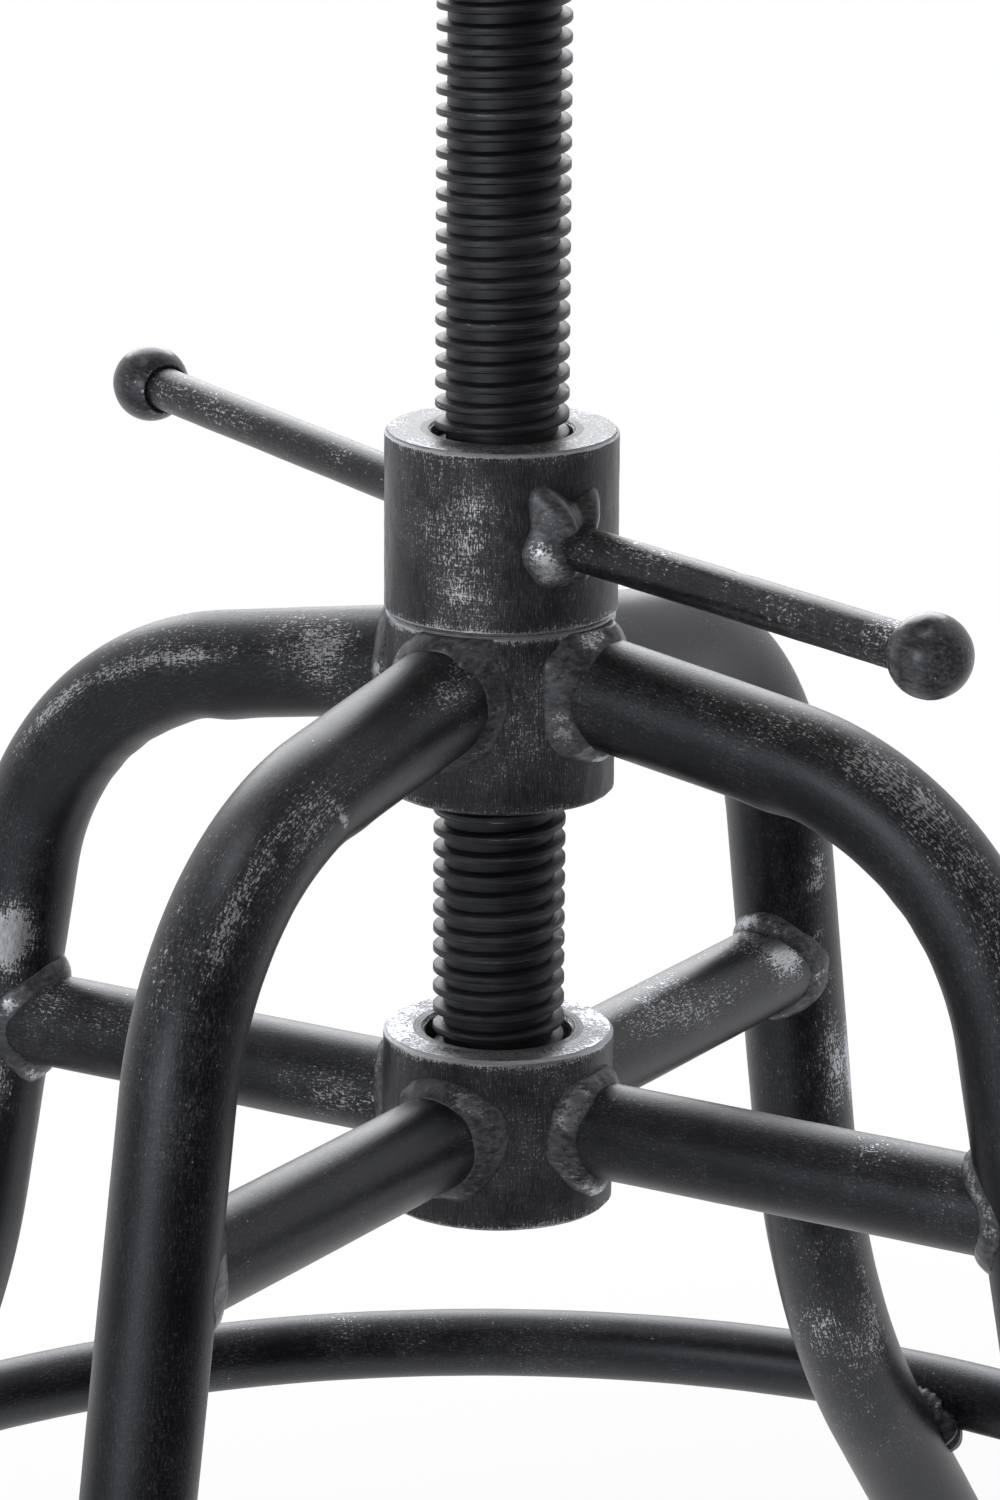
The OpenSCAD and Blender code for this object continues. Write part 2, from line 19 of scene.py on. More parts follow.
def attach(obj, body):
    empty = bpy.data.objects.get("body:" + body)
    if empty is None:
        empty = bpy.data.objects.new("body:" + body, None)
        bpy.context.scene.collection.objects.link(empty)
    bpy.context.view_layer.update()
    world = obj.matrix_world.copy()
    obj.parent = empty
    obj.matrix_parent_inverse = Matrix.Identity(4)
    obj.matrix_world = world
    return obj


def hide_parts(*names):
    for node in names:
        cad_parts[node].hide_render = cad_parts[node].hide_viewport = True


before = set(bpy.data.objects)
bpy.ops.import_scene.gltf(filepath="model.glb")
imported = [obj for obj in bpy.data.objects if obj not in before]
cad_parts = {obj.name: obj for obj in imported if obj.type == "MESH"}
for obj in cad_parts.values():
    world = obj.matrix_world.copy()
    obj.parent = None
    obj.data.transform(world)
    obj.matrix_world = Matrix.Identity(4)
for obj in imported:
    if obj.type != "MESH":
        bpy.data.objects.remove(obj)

MM = 0.001
UP = np.array([0.0, 0.0, 1.0])
LEGS = range(1, 5)
RODS = (1, 2)
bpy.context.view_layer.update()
LOG = logging.getLogger("stool")
Colour = tuple[float, float, float]
Vec = tuple[float, float, float]
Axes = tuple[np.ndarray, np.ndarray, np.ndarray]


class Seed(IntEnum):
    """Seeds that fix the unevenness of the pieces. Where there are several pieces, each adds its number."""
    LEG = 0
    LEG_SEAM = 10
    BRACE = 20
    BRACE_HUB_SEAM = 30
    FOOT_RING = 31
    UPPER_HUB = 41
    LOWER_HUB = 42
    NUT = 43
    BALL = 44
    SOCKET = 45
    SOCKET_BEAD = 46
    BRACE_LEG_SEAM = 50
    ROD = 60
    RING_BEAD = 71
    ROD_SEAM = 80


def unit(vectors: np.ndarray) -> np.ndarray:
    """Scale vectors to length one."""
    return vectors / np.linalg.norm(vectors, axis=-1, keepdims=True)


def circle(count: int) -> np.ndarray:
    """Spread angles evenly over a full turn, in radians."""
    return np.arange(count) * 2 * math.pi / count


def level(angle: np.ndarray | float) -> np.ndarray:
    """Give the level directions at angles round the upright axis, in radians."""
    return np.stack([np.cos(angle), np.sin(angle), np.zeros_like(angle)], -1)


def tilted(out: np.ndarray, slope: float) -> tuple[np.ndarray, np.ndarray]:
    """Tilt a level direction down.

    Args:
        out: The level direction.
        slope: Slope in degrees, downwards.

    Returns:
        The tilted direction, and the direction square to it on the upper side.
    """
    cosine, sine = math.cos(math.radians(slope)), math.sin(math.radians(slope))
    return cosine * out - sine * UP, sine * out + cosine * UP


def wander(points: np.ndarray, size: float, seed: int) -> np.ndarray:
    """Give a smooth field that wanders between about -1 and 1.

    Args:
        points: Points in millimetres, in the last dimension.
        size: Distance over which the field changes, in millimetres.
        seed: Number that fixes the field.

    Returns:
        One value for each point.
    """
    rng = np.random.default_rng(seed)
    total = np.zeros(points.shape[:-1])
    for octave in range(3):
        for _ in range(5):
            wave = unit(rng.normal(size=3)) * 2 * math.pi * 2 ** octave / (size * rng.uniform(0.7, 1.4))
            total += np.sin(points @ wave + rng.uniform(0, 2 * math.pi)) * 0.55 ** octave
    return total / 3.2


def bell(value: np.ndarray, width: float) -> np.ndarray:
    """Give a bump that is 1 at zero and fades over a width."""
    return np.exp(-(value / width) ** 2)


def bump(t: np.ndarray, width: float) -> np.ndarray:
    """Give a bump that is 1 at zero and nothing from its width on."""
    return np.maximum(0, 1 - (t / width) ** 2) ** 2


def fade(a: float, b: float, t: np.ndarray) -> np.ndarray:
    """Rise smoothly from 0 at a to 1 at b."""
    s = np.clip((t - a) / (b - a), 0, 1)
    return s * s * (3 - 2 * s)


def turned_back(degrees: np.ndarray) -> np.ndarray:
    """Bring angles between -180 and 180 degrees."""
    return (degrees + 180) % 360 - 180


def add_object(name: str, data: bpy.types.ID) -> bpy.types.Object:
    """Make an object and link it to the scene.

    Args:
        name: The object's name.
        data: Its mesh, lamp or camera.

    Returns:
        The object.
    """
    made = bpy.data.objects.new(name, data)
    bpy.context.scene.collection.objects.link(made)
    return made


def blank(name: str) -> bpy.types.Object:
    """Make an object that has no faces yet, for a tool to fill."""
    return add_object(name, bpy.data.meshes.new(name))


@dataclass(frozen=True)
class Patch:
    """A place where the paint is rubbed away.

    Attributes:
        along: Its middle along the tube, in millimetres from the tube's start.
        around: Its middle round the tube in degrees, 0 on the outer or upper side.
        length: How far it fades along the tube.
        width: How far it fades round the tube, in degrees.
        strength: How bare it is, 1 for bright steel.
    """
    along: float
    around: float
    length: float
    width: float
    strength: float

    def wear(self, along: np.ndarray, around: np.ndarray) -> np.ndarray:
        """Give the patch's wear at places on a tube.

        Args:
            along: Distances along the tube.
            around: Angles round the tube in degrees.

        Returns:
            The wear at each place.
        """
        return (self.strength * bell(along - self.along, self.length)
                * bell(turned_back(around - self.around), self.width))


def rubbed(*rows: tuple[float, float, float, float, float]) -> tuple[Patch, ...]:
    """Make patches from rows of their five values."""
    return tuple(Patch(*row) for row in rows)


@dataclass
class Skin:
    """A closed mesh made of rings of points, with the attributes that the finishes read.

    The attribute "flow" runs along the brushing in its first value and across it in the others.
    The attribute "wear" says how far the paint is rubbed away; on the wooden seat it says how much darker the
    wood is made.
    """
    name: str
    points: list[np.ndarray] = field(default_factory=list)
    faces: list[tuple[int, ...]] = field(default_factory=list)
    values: dict[str, list[np.ndarray]] = field(default_factory=dict)
    count: int = 0

    def put(self, points: np.ndarray, values: dict[str, np.ndarray]) -> None:
        """Add points with their attribute values.

        Args:
            points: The points, one row each.
            values: One value or vector for each point, by attribute name.
        """
        self.points.append(points)
        for key, value in values.items():
            self.values.setdefault(key, []).append(value)
        self.count += len(points)

    def sheet(self, rings: np.ndarray, loop: bool = False, **values: np.ndarray) -> None:
        """Join rings of points into a closed skin.

        Args:
            rings: Points as ring, place in the ring, coordinate.
            loop: Whether the last ring joins the first one. Otherwise both ends are closed.
            values: Attribute values, ring by ring.
        """
        rows, columns = rings.shape[:2]
        first = self.count
        flat = {key: value.reshape(rows * columns, *value.shape[2:]) for key, value in values.items()}
        self.put(rings.reshape(-1, 3), flat)
        row = np.arange(rows if loop else rows - 1)[:, None] * columns
        after = (row + columns) % (rows * columns)
        column = np.arange(columns)[None, :]
        beside = (column + 1) % columns
        corners = np.stack([row + column, row + beside, after + beside, after + column], -1)
        self.faces.extend(map(tuple, (first + corners.reshape(-1, 4)).tolist()))
        if not loop:
            for end in (0, rows - 1):
                middle = {key: value[end].mean(axis=0, keepdims=True) for key, value in values.items()}
                self.put(rings[end].mean(axis=0, keepdims=True), middle)
                pole, rim = self.count - 1, first + end * columns + np.arange(columns)
                for a, b in zip(rim.tolist(), np.roll(rim, -1).tolist()):
                    self.faces.append((pole, a, b) if end else (pole, b, a))

    def outward(self, points: np.ndarray) -> bool:
        """Tell whether the faces point outwards, from the sign of the volume.

        Args:
            points: All points of the mesh.

        Returns:
            Whether they do.
        """
        corners = np.array([face if len(face) == 4 else (*face, face[-1]) for face in self.faces])
        a, b, c, d = points[corners].transpose(1, 0, 2)
        return float(np.sum(a * (np.cross(b, c) + np.cross(c, d)))) > 0

    def build(self, sharp: float = 35) -> bpy.types.Object:
        """Make the mesh object.

        Args:
            sharp: Angle in degrees from which an edge is shaded sharp.

        Returns:
            The new object, in metres, at the origin.
        """
        points = np.concatenate(self.points)
        faces = self.faces if self.outward(points) else [face[::-1] for face in self.faces]
        mesh = bpy.data.meshes.new(self.name)
        mesh.from_pydata((points * MM).tolist(), [], faces)
        for key, parts in self.values.items():
            value = np.concatenate(parts)
            vector = value.ndim == 2
            layer = mesh.attributes.new(key, "FLOAT_VECTOR" if vector else "FLOAT", "POINT")
            scale = MM if vector else 1.0
            numbers = (value * scale).astype(np.float32).ravel()
            layer.data.foreach_set("vector" if vector else "value", numbers)
        mesh.shade_smooth()
        mesh.set_sharp_from_angle(angle=math.radians(sharp))
        mesh.update()
        return add_object(self.name, mesh)


def tube(name: str, centres: np.ndarray, normals: np.ndarray, sides: np.ndarray, radius: np.ndarray,
         along: np.ndarray, patches: Sequence[Patch] = (), shift: float = 0.0,
         cut: tuple[float, np.ndarray] | None = None) -> bpy.types.Object:
    """Build a round tube that follows a line.

    Args:
        name: The piece's name.
        centres: Points on the tube's centreline.
        normals: Direction of the angle 0, for the whole tube or at each centre.
        sides: Direction of the angle 90, for the whole tube or at each centre.
        radius: Radius by centre and angle.
        along: Distance of each centre along the tube.
        patches: Places where the paint is rubbed away.
        shift: Where the tube lies in the brushing's pattern.
        cut: Height of a level cut through the tube's end, and the tube's direction there.

    Returns:
        The piece.
    """
    angle = circle(radius.shape[1])
    cosine, sine = np.cos(angle), np.sin(angle)
    normals, sides = (np.broadcast_to(way, centres.shape)[:, None, :] for way in (normals, sides))
    out = cosine[:, None] * normals + sine[:, None] * sides
    rings = centres[:, None, :] + radius[:, :, None] * out
    if cut is not None:
        height, heading = cut
        reach = (height - rings[:, :, 2]) / heading[2]
        reach[:-1] = np.minimum(reach[:-1], 0)
        rings = rings + reach[:, :, None] * heading
    grid = np.broadcast_to(along[:, None], radius.shape)
    wear = sum((patch.wear(grid, np.degrees(angle)) for patch in patches), np.zeros(radius.shape))
    flow = np.stack([grid + shift, radius * cosine, radius * sine], -1)
    skin = Skin(name)
    skin.sheet(rings, flow=flow, wear=wear)
    return skin.build()


@dataclass(frozen=True)
class Turned:
    """One corner of a turned piece's outline.

    Attributes:
        radius: Distance from the axis.
        height: Place along the axis.
        wear: How bare the metal is here.
        flat: Whether the brushing runs straight across, as on a sanded face.
    """
    radius: float
    height: float
    wear: float = 0.0
    flat: bool = False


def fine_outline(corners: Sequence[Turned], step: float, loop: bool) -> list[Turned]:
    """Add points between an outline's corners, so that wear and raggedness can vary.

    Args:
        corners: The outline's corners.
        step: Largest distance between two points.
        loop: Whether the last corner joins the first one.

    Returns:
        The corners and the new points.
    """
    result: list[Turned] = []
    following = [*corners[1:], corners[0]] if loop else corners[1:]
    for a, b in zip(corners, following):
        pieces = max(1, math.ceil(math.hypot(b.radius - a.radius, b.height - a.height) / step))
        for s in (k / pieces for k in range(pieces)):
            result.append(Turned(a.radius + s * (b.radius - a.radius), a.height + s * (b.height - a.height),
                                 a.wear + s * (b.wear - a.wear), a.flat and b.flat))
    return result if loop else [*result, corners[-1]]


def turn(name: str, rows: Sequence[tuple], step: float = math.inf, place: np.ndarray | None = None,
         sides: int = 96, loop: bool = True, ragged: float = 0.0, seed: int = 1,
         patches: Sequence[Patch] = (), sharp: float = 28) -> bpy.types.Object:
    """Build a piece that is turned round an axis.

    Args:
        name: The piece's name.
        rows: The values of the outline's corners. A closed outline makes a ring, an open one starts
            and ends near the axis.
        step: Largest distance between two points of the outline.
        place: Matrix of 4 by 4 that turns the local Z axis to the piece's own axis.
        sides: Points round the axis.
        loop: Whether the outline closes on itself.
        ragged: How far the surface wanders, in millimetres.
        seed: Number that fixes the wandering.
        patches: Places where the paint is rubbed away, by height and angle.
        sharp: Angle in degrees from which an edge is shaded sharp.

    Returns:
        The piece.
    """
    outline = fine_outline([Turned(*row) for row in rows], step, loop)
    angle = circle(sides)
    radius = np.array([p.radius for p in outline])[:, None]
    height = np.array([p.height for p in outline])[:, None]
    local = radius[:, :, None] * level(angle) + height[:, :, None] * UP
    flat = np.array([p.flat for p in outline])[:, None, None]
    flow = np.where(flat, local, local[:, :, [2, 0, 1]])
    wear = np.broadcast_to(np.array([p.wear for p in outline])[:, None], local.shape[:2])
    for patch in patches:
        outer = radius > 0.8 * radius.max()
        wear = wear + patch.wear(local[:, :, 2], np.degrees(angle)) * outer
    if ragged:
        drift = ragged * wander(local, 9.0, seed) * (radius / radius.max())
        local = local - np.abs(drift)[:, :, None] * level(angle)
    if place is not None:
        local = local @ place[:3, :3].T + place[:3, 3]
    skin = Skin(name)
    skin.sheet(local, loop=loop, flow=flow, wear=wear)
    return skin.build(sharp)


@dataclass(frozen=True)
class Value:
    """A node's output that can be used in sums. Sums with a vector give a vector."""
    wiring: "Wiring"
    socket: bpy.types.NodeSocket

    def joined(self, operation: str, first: object, second: object) -> "Value":
        """Join a Math or a Vector Math node to two values.

        Args:
            operation: The node's operation.
            first: Its first value.
            second: Its second value.

        Returns:
            The node's output.
        """
        if self.socket.type != "VECTOR":
            return self.wiring.math(operation, first, second)
        if operation == "MULTIPLY" and isinstance(second, float):
            return self.wiring.node("ShaderNodeVectorMath", {0: first, "Scale": second}, operation="SCALE")[0]
        return self.wiring.node("ShaderNodeVectorMath", {0: first, 1: second}, operation=operation)[0]

    def __add__(self, other: object) -> "Value":
        """Add a value to this one."""
        return self.joined("ADD", self, other)

    def __sub__(self, other: object) -> "Value":
        """Take a value from this one."""
        return self.joined("SUBTRACT", self, other)

    def __rsub__(self, other: object) -> "Value":
        """Take this value from another one."""
        return self.joined("SUBTRACT", other, self)

    def __mul__(self, other: object) -> "Value":
        """Multiply this value by another one."""
        return self.joined("MULTIPLY", self, other)

    def __truediv__(self, other: object) -> "Value":
        """Divide this value by another one."""
        return self.joined("DIVIDE", self, other)

    def __rtruediv__(self, other: object) -> "Value":
        """Divide another value by this one."""
        return self.joined("DIVIDE", other, self)


@dataclass(frozen=True)
class Node:
    """A node in a tree, whose outputs are values."""
    wiring: "Wiring"
    made: bpy.types.Node

    def __getitem__(self, key: int | str) -> Value:
        """Give one output, by number or name."""
        return Value(self.wiring, self.made.outputs[key])

    def feed(self, **inputs: object) -> None:
        """Give inputs their values, by name, with "_" for each space."""
        for key, value in inputs.items():
            self.wiring.feed(self.made.inputs[key.replace("_", " ")], value)


@dataclass
class Wiring:
    """Adds nodes to one node tree and joins them."""
    tree: bpy.types.NodeTree
    column: float = 0.0

    def node(self, kind: str, inputs: dict | None = None, **settings: object) -> Node:
        """Add one node.

        Args:
            kind: The node's type.
            inputs: Values for its inputs, by name or number.
            **settings: Values of the node's own settings.

        Returns:
            The new node.
        """
        node = self.tree.nodes.new(kind)
        self.column += 190
        node.location = (self.column, 0)
        for key, value in settings.items():
            setattr(node, key, value)
        for key, value in (inputs or {}).items():
            self.feed(node.inputs[key], value)
        return Node(self, node)

    def feed(self, socket: bpy.types.NodeSocket, value: object) -> None:
        """Give an input a plain value, or join another node's output to it.

        Args:
            socket: The input.
            value: The plain value or the other node's output.
        """
        if isinstance(value, Value):
            self.tree.links.new(value.socket, socket)
        else:
            socket.default_value = value

    def math(self, operation: str, a: object, b: object = 0.0, clamp: bool = False) -> Value:
        """Join a Math node to one or two values and return its output."""
        return self.node("ShaderNodeMath", {0: a, 1: b}, operation=operation, use_clamp=clamp)[0]

    def together(self, x: object, y: object, z: object) -> Value:
        """Put three numbers together as a vector."""
        return self.node("ShaderNodeCombineXYZ", {0: x, 1: y, 2: z})[0]

    def apart(self, vector: Value) -> tuple[Value, Value, Value]:
        """Take a vector apart."""
        node = self.node("ShaderNodeSeparateXYZ", {0: vector})
        return node[0], node[1], node[2]

    def length(self, vector: Value) -> Value:
        """Give a vector's length."""
        return self.node("ShaderNodeVectorMath", {0: vector}, operation="LENGTH")["Value"]

    def from_axis(self, x: Value, y: Value) -> Value:
        """Give the distance from the upright axis."""
        return self.math("SQRT", x * x + y * y)

    def place(self) -> Value:
        """Give the place on the object, in metres."""
        return self.node("ShaderNodeTexCoord")["Object"]

    def attribute(self, name: str, output: str = "Fac") -> Value:
        """Read one of the piece's attributes."""
        return self.node("ShaderNodeAttribute", attribute_name=name)[output]

    def blend(self, factor: object, a: object, b: object) -> Value:
        """Blend two numbers."""
        return self.node("ShaderNodeMix", {0: factor, 2: a, 3: b}, data_type="FLOAT")[0]

    def tint(self, factor: object, a: object, b: object, mode: str = "MIX") -> Value:
        """Blend two colours."""
        a, b = ((*value, 1.0) if isinstance(value, tuple) else value for value in (a, b))
        return self.node("ShaderNodeMix", {0: factor, 6: a, 7: b}, data_type="RGBA", blend_type=mode)[2]

    def noise(self, place: Value, scale: float = 1.0, detail: float = 3.0, roughness: float = 0.55) -> Value:
        """Join a Noise Texture to a place and return its value."""
        values = {"Vector": place, "Scale": scale, "Detail": detail, "Roughness": roughness}
        return self.node("ShaderNodeTexNoise", values, noise_dimensions="3D")[0]

    def step(self, value: Value, low: object, high: object) -> Value:
        """Rise smoothly from 0 to 1 between two values."""
        values = {0: value, 1: low, 2: high}
        return self.node("ShaderNodeMapRange", values, interpolation_type="SMOOTHSTEP")[0]

    def moved(self, geometry: Value, **ways: object) -> Value:
        """Move a geometry by its Translation and turn it by its Rotation."""
        return self.node("GeometryNodeTransform", {0: geometry, **ways})[0]

    def group(self, tree: bpy.types.NodeTree, **inputs: object) -> Node:
        """Add a node group.

        Args:
            tree: The group's tree.
            **inputs: Values for its inputs, with "_" for each space in their names.

        Returns:
            The new node.
        """
        node = self.node("ShaderNodeGroup", node_tree=tree)
        node.feed(**inputs)
        return node


def emptied(holder: bpy.types.Material | bpy.types.World) -> Wiring:
    """Empty the node tree of a material or a world.

    Args:
        holder: The material or the world.

    Returns:
        The empty tree's wiring.
    """
    holder.use_nodes = True
    holder.node_tree.nodes.clear()
    return Wiring(holder.node_tree)


def shade(colour: Colour, share: float) -> Colour:
    """Make a colour darker or lighter."""
    return tuple(min(1.0, share * value) for value in colour)


def new_group(name: str, inputs: dict[str, float | Vec], outputs: Sequence[str]) -> tuple[Wiring, Node, Node]:
    """Make an empty shader node group.

    Args:
        name: The group's name.
        inputs: Default values, by name.
        outputs: Names of its numbers.

    Returns:
        The wiring of the group's tree, with its input node and its output node.
    """
    tree = bpy.data.node_groups.new(name, "ShaderNodeTree")
    for key, default in inputs.items():
        kind = "NodeSocketVector" if isinstance(default, tuple) else "NodeSocketFloat"
        tree.interface.new_socket(key, in_out="INPUT", socket_type=kind).default_value = default
    for key in outputs:
        tree.interface.new_socket(key, in_out="OUTPUT", socket_type="NodeSocketFloat")
    w = Wiring(tree)
    return w, w.node("NodeGroupInput"), w.node("NodeGroupOutput")


@cache
def rubbed_paint() -> bpy.types.NodeTree:
    """Make the group that rubs paint away in streaks and specks.

    Returns:
        The group. Bare is 1 on bare steel, Tone varies round 0.5, and Height is the surface's relief.
    """
    w, given, out = new_group("rubbed_paint", {
        "Flow": (0.0, 0.0, 0.0), "Wear": 0.0, "Streak Width": 0.5, "Streak Length": 2.2, "Speck Size": 1.0,
        "Cover": 0.5, "Seed": 0.0}, ("Bare", "Tone", "Height"))
    wear, cover, seed = given["Wear"], given["Cover"], given["Seed"]
    flow = given["Flow"] * 1000.0 + w.together(seed * 37.0, seed * 91.0, seed)
    across, size = 1.0 / given["Streak Width"], 1.0 / given["Speck Size"]
    streak = w.noise(flow * w.together(1.0 / given["Streak Length"], across, across), 1.0, 3.0, 0.6)
    speck = w.noise(flow * w.together(size * 0.55, size, size), 1.0, 4.0, 0.65)
    cross = w.noise(flow * (2.6, 0.22, 0.22), 1.0, 2.0, 0.5)
    cloud = w.noise(flow, 1 / 21, 3.0, 0.6)
    score = wear + (streak - 0.5) * 0.9 + (speck - 0.5) * 1.9 + (cross - 0.5) * 0.6 + (cloud - 0.5) * 0.9
    full = w.step(score, cover, cover + 0.24) * w.step(speck, 0.29, 0.37)
    thin = w.step(score, cover - 0.5, cover)
    bare = w.math("MAXIMUM", full, thin * 0.06, clamp=True)
    out.feed(Bare=bare, Tone=(streak - 0.5) * 1.2 + cloud, Height=speck * 0.6 - full * 0.5 + streak * 0.35)
    return w.tree


@cache
def settled_dust() -> bpy.types.NodeTree:
    """Make the group that lays a little dust on faces that look up.

    Returns:
        The group. Mask is 1 where the dust lies thick.
    """
    w, given, out = new_group("settled_dust", {"Amount": 0.1, "Grain": 900.0}, ("Mask",))
    place, grain = w.place(), given["Grain"]
    upwards = w.apart(w.node("ShaderNodeNewGeometry")["Normal"])[2]
    fine = w.step(w.noise(place * w.together(grain, grain, grain), 1.0, 2.0), 0.45, 0.75)
    cloud = w.step(w.noise(place, 30.0, 3.0), 0.35, 0.7)
    share = (fine * 0.6 + 0.4) * (cloud * 0.7 + 0.3)
    mask = w.math("MULTIPLY", w.step(upwards, 0.35, 1.0) * share, given["Amount"], clamp=True)
    out.feed(Mask=mask)
    return w.tree


@cache
def timber() -> bpy.types.NodeTree:
    """Make the group that gives glued-up boards their grain.

    Returns:
        The group. Ring is the growth rings' band, Pore the open pores, Board the tone of each board,
        and Joint is 1 on the glue lines.
    """
    w, given, out = new_group("timber", {"Board Width": 0.09, "Ring Size": 0.0042, "Seed": 3.0},
                              ("Ring", "Pore", "Board", "Joint"))
    place = w.place()
    shifted = w.apart(place)[1] / given["Board Width"] + 0.37
    near_joint = w.math("PINGPONG", shifted, 0.5) * given["Board Width"]
    cell = w.together(w.math("FLOOR", shifted), given["Seed"], 0.0)
    own = w.node("ShaderNodeTexWhiteNoise", {"Vector": cell}, noise_dimensions="3D")
    shift = w.node("ShaderNodeVectorMath", {0: own["Color"], 1: (0.5, 0.5, 0.5)}, operation="SUBTRACT")[0]
    log = place + shift * (3.0, 0.05, 0.09) + (0.0, 0.0, 0.045)
    bent = w.noise(log * (2.6, 11.0, 11.0), 1.0, 3.0, 0.5)
    x, y, z = w.apart(log)
    from_pith = w.length(w.together(0.0, x * 0.07 + y, z))
    saw = w.math("FRACT", ((bent - 0.5) * 0.03 + from_pith) / given["Ring Size"])
    pore = w.noise(log * (38.0, 1500.0, 1500.0), 1.0, 2.0, 0.7)
    out.feed(Ring=w.step(saw, 0.0, 0.75) * (1.0 - w.step(saw, 0.86, 1.0)), Pore=w.step(pore, 0.53, 0.72),
             Board=own["Value"], Joint=1.0 - w.step(near_joint, 0.0, 0.0005))
    return w.tree


class Along(Enum):
    """Where a finish takes the direction of its brushing from."""
    FLOW = "the piece's own attribute"
    TURNED = "round the upright axis"


@dataclass(frozen=True)
class Finish:
    """A finish that becomes one material.

    Attributes:
        name: The material's name.
        roughness: Roughness of the plain surface.
        level: Specular level of the shader.
        relief: Depth of the surface's relief in millimetres.
    """
    name: str
    roughness: float = 0.45
    level: float = 0.5
    relief: float = 0.05

    @cache
    def material(self) -> bpy.types.Material:
        """Make the material, once.

        Returns:
            The material.
        """
        material = bpy.data.materials.new(self.name)
        w = emptied(material)
        values = {"Roughness": self.roughness, "Specular IOR Level": self.level}
        shader = w.node("ShaderNodeBsdfPrincipled", values)
        w.node("ShaderNodeOutputMaterial").feed(Surface=shader[0])
        self.wire(w, shader)
        return material

    def wire(self, w: Wiring, shader: Node) -> None:
        """Join the finish's nodes to the shader."""
        raise NotImplementedError

    def embossed(self, w: Wiring, height: Value, strength: float) -> Value:
        """Give the normals of a relief.

        Args:
            w: The material's wiring.
            height: Height of the surface, from 0 to 1.
            strength: Strength of the relief.

        Returns:
            The normals.
        """
        values = {"Strength": strength, "Distance": self.relief * MM, "Height": height}
        return w.node("ShaderNodeBump", values)[0]


@dataclass(frozen=True)
class RubbedSteel(Finish):
    """Charcoal paint on steel, brushed back to the metal.

    Attributes:
        paint: The paint's colour.
        steel: The bare metal's colour.
        gloss_tint: Colour of the reflections on the paint.
        dust_colour: Colour of the dust.
        polish: Roughness of the bare metal.
        wear: Wear that is added all over.
        cover: Wear from which the metal shows.
        streak: Width and length of the brush streaks, in millimetres.
        speck: Size of the specks, in millimetres.
        dust: Amount of dust.
        along: Direction of the brushing.
        seed: Number that fixes the pattern.
    """
    paint: Colour = (0.0052, 0.0053, 0.0062)
    steel: Colour = (0.54, 0.545, 0.575)
    gloss_tint: Colour = (0.86, 0.89, 1.0)
    dust_colour: Colour = (0.30, 0.30, 0.31)
    polish: float = 0.36
    wear: float = 0.0
    cover: float = 0.52
    streak: tuple[float, float] = (0.5, 2.2)
    speck: float = 0.5
    dust: float = 0.03
    along: Along = Along.FLOW
    seed: float = 0.0

    def flow(self, w: Wiring) -> Value:
        """Give the place on the surface, with the brushing in its first value.

        Args:
            w: The material's wiring.

        Returns:
            The place in metres.
        """
        if self.along is Along.FLOW:
            return w.attribute("flow", "Vector")
        x, y, z = w.apart(w.place())
        return w.together(x * 0.05, y * 0.05, z + w.from_axis(x, y))

    def wire(self, w: Wiring, shader: Node) -> None:
        """Join the paint, the bare metal and the dust to the shader.

        Args:
            w: The material's wiring.
            shader: Its shader.
        """
        wear, (wide, long) = w.attribute("wear") + self.wear, self.streak
        worn = w.group(rubbed_paint(), Flow=self.flow(w), Wear=wear, Streak_Width=wide, Streak_Length=long,
                       Speck_Size=self.speck, Cover=self.cover, Seed=self.seed)
        bare, tone = worn["Bare"], worn["Tone"]
        dust = w.group(settled_dust(), Amount=self.dust)["Mask"]
        paint = w.tint(w.step(tone, 0.25, 0.8), shade(self.paint, 0.6), shade(self.paint, 1.8))
        paint = w.tint(dust, paint, self.dust_colour)
        steel = w.tint(w.step(tone, 0.3, 0.7), shade(self.steel, 0.6), self.steel)
        rough = w.blend(bare, (tone - 0.5) * 0.12 + self.roughness, self.polish)
        shader.feed(Base_Color=w.tint(bare, paint, steel), Metallic=bare * 0.9,
                    Roughness=w.math("ADD", dust * 0.4, rough, clamp=True),
                    Specular_Tint=(*self.gloss_tint, 1.0), Normal=self.embossed(w, worn["Height"], 0.8))


@dataclass(frozen=True)
class PlainStuff(Finish):
    """Rubber, nylon or plating with a fine grain.

    Attributes:
        colour: The stuff's colour.
        dust_colour: Colour of the dust.
        metal: How metallic it is.
        grain: Size of the grain in millimetres.
        mottle: How much the colour varies.
    """
    colour: Colour = (0.02, 0.02, 0.02)
    dust_colour: Colour = (0.32, 0.31, 0.30)
    metal: float = 0.0
    grain: float = 0.5
    mottle: float = 0.3

    def wire(self, w: Wiring, shader: Node) -> None:
        """Join the grain and the colour to the shader.

        Args:
            w: The material's wiring.
            shader: Its shader.
        """
        place = w.place()
        fine = w.noise(place, 1 / (self.grain * MM), 3.0, 0.6)
        cloud = w.noise(place, 60.0, 4.0, 0.6)
        dust = w.group(settled_dust(), Amount=0.05)["Mask"]
        low, high = shade(self.colour, 1 - self.mottle), shade(self.colour, 1 + 0.5 * self.mottle)
        colour = w.tint(w.step(fine * 0.4 + cloud * 0.6, 0.3, 0.7), low, high)
        shader.feed(Base_Color=w.tint(dust, colour, self.dust_colour), Metallic=self.metal,
                    Roughness=cloud * 0.16 + (self.roughness - 0.08), Normal=self.embossed(w, fine, 0.6))


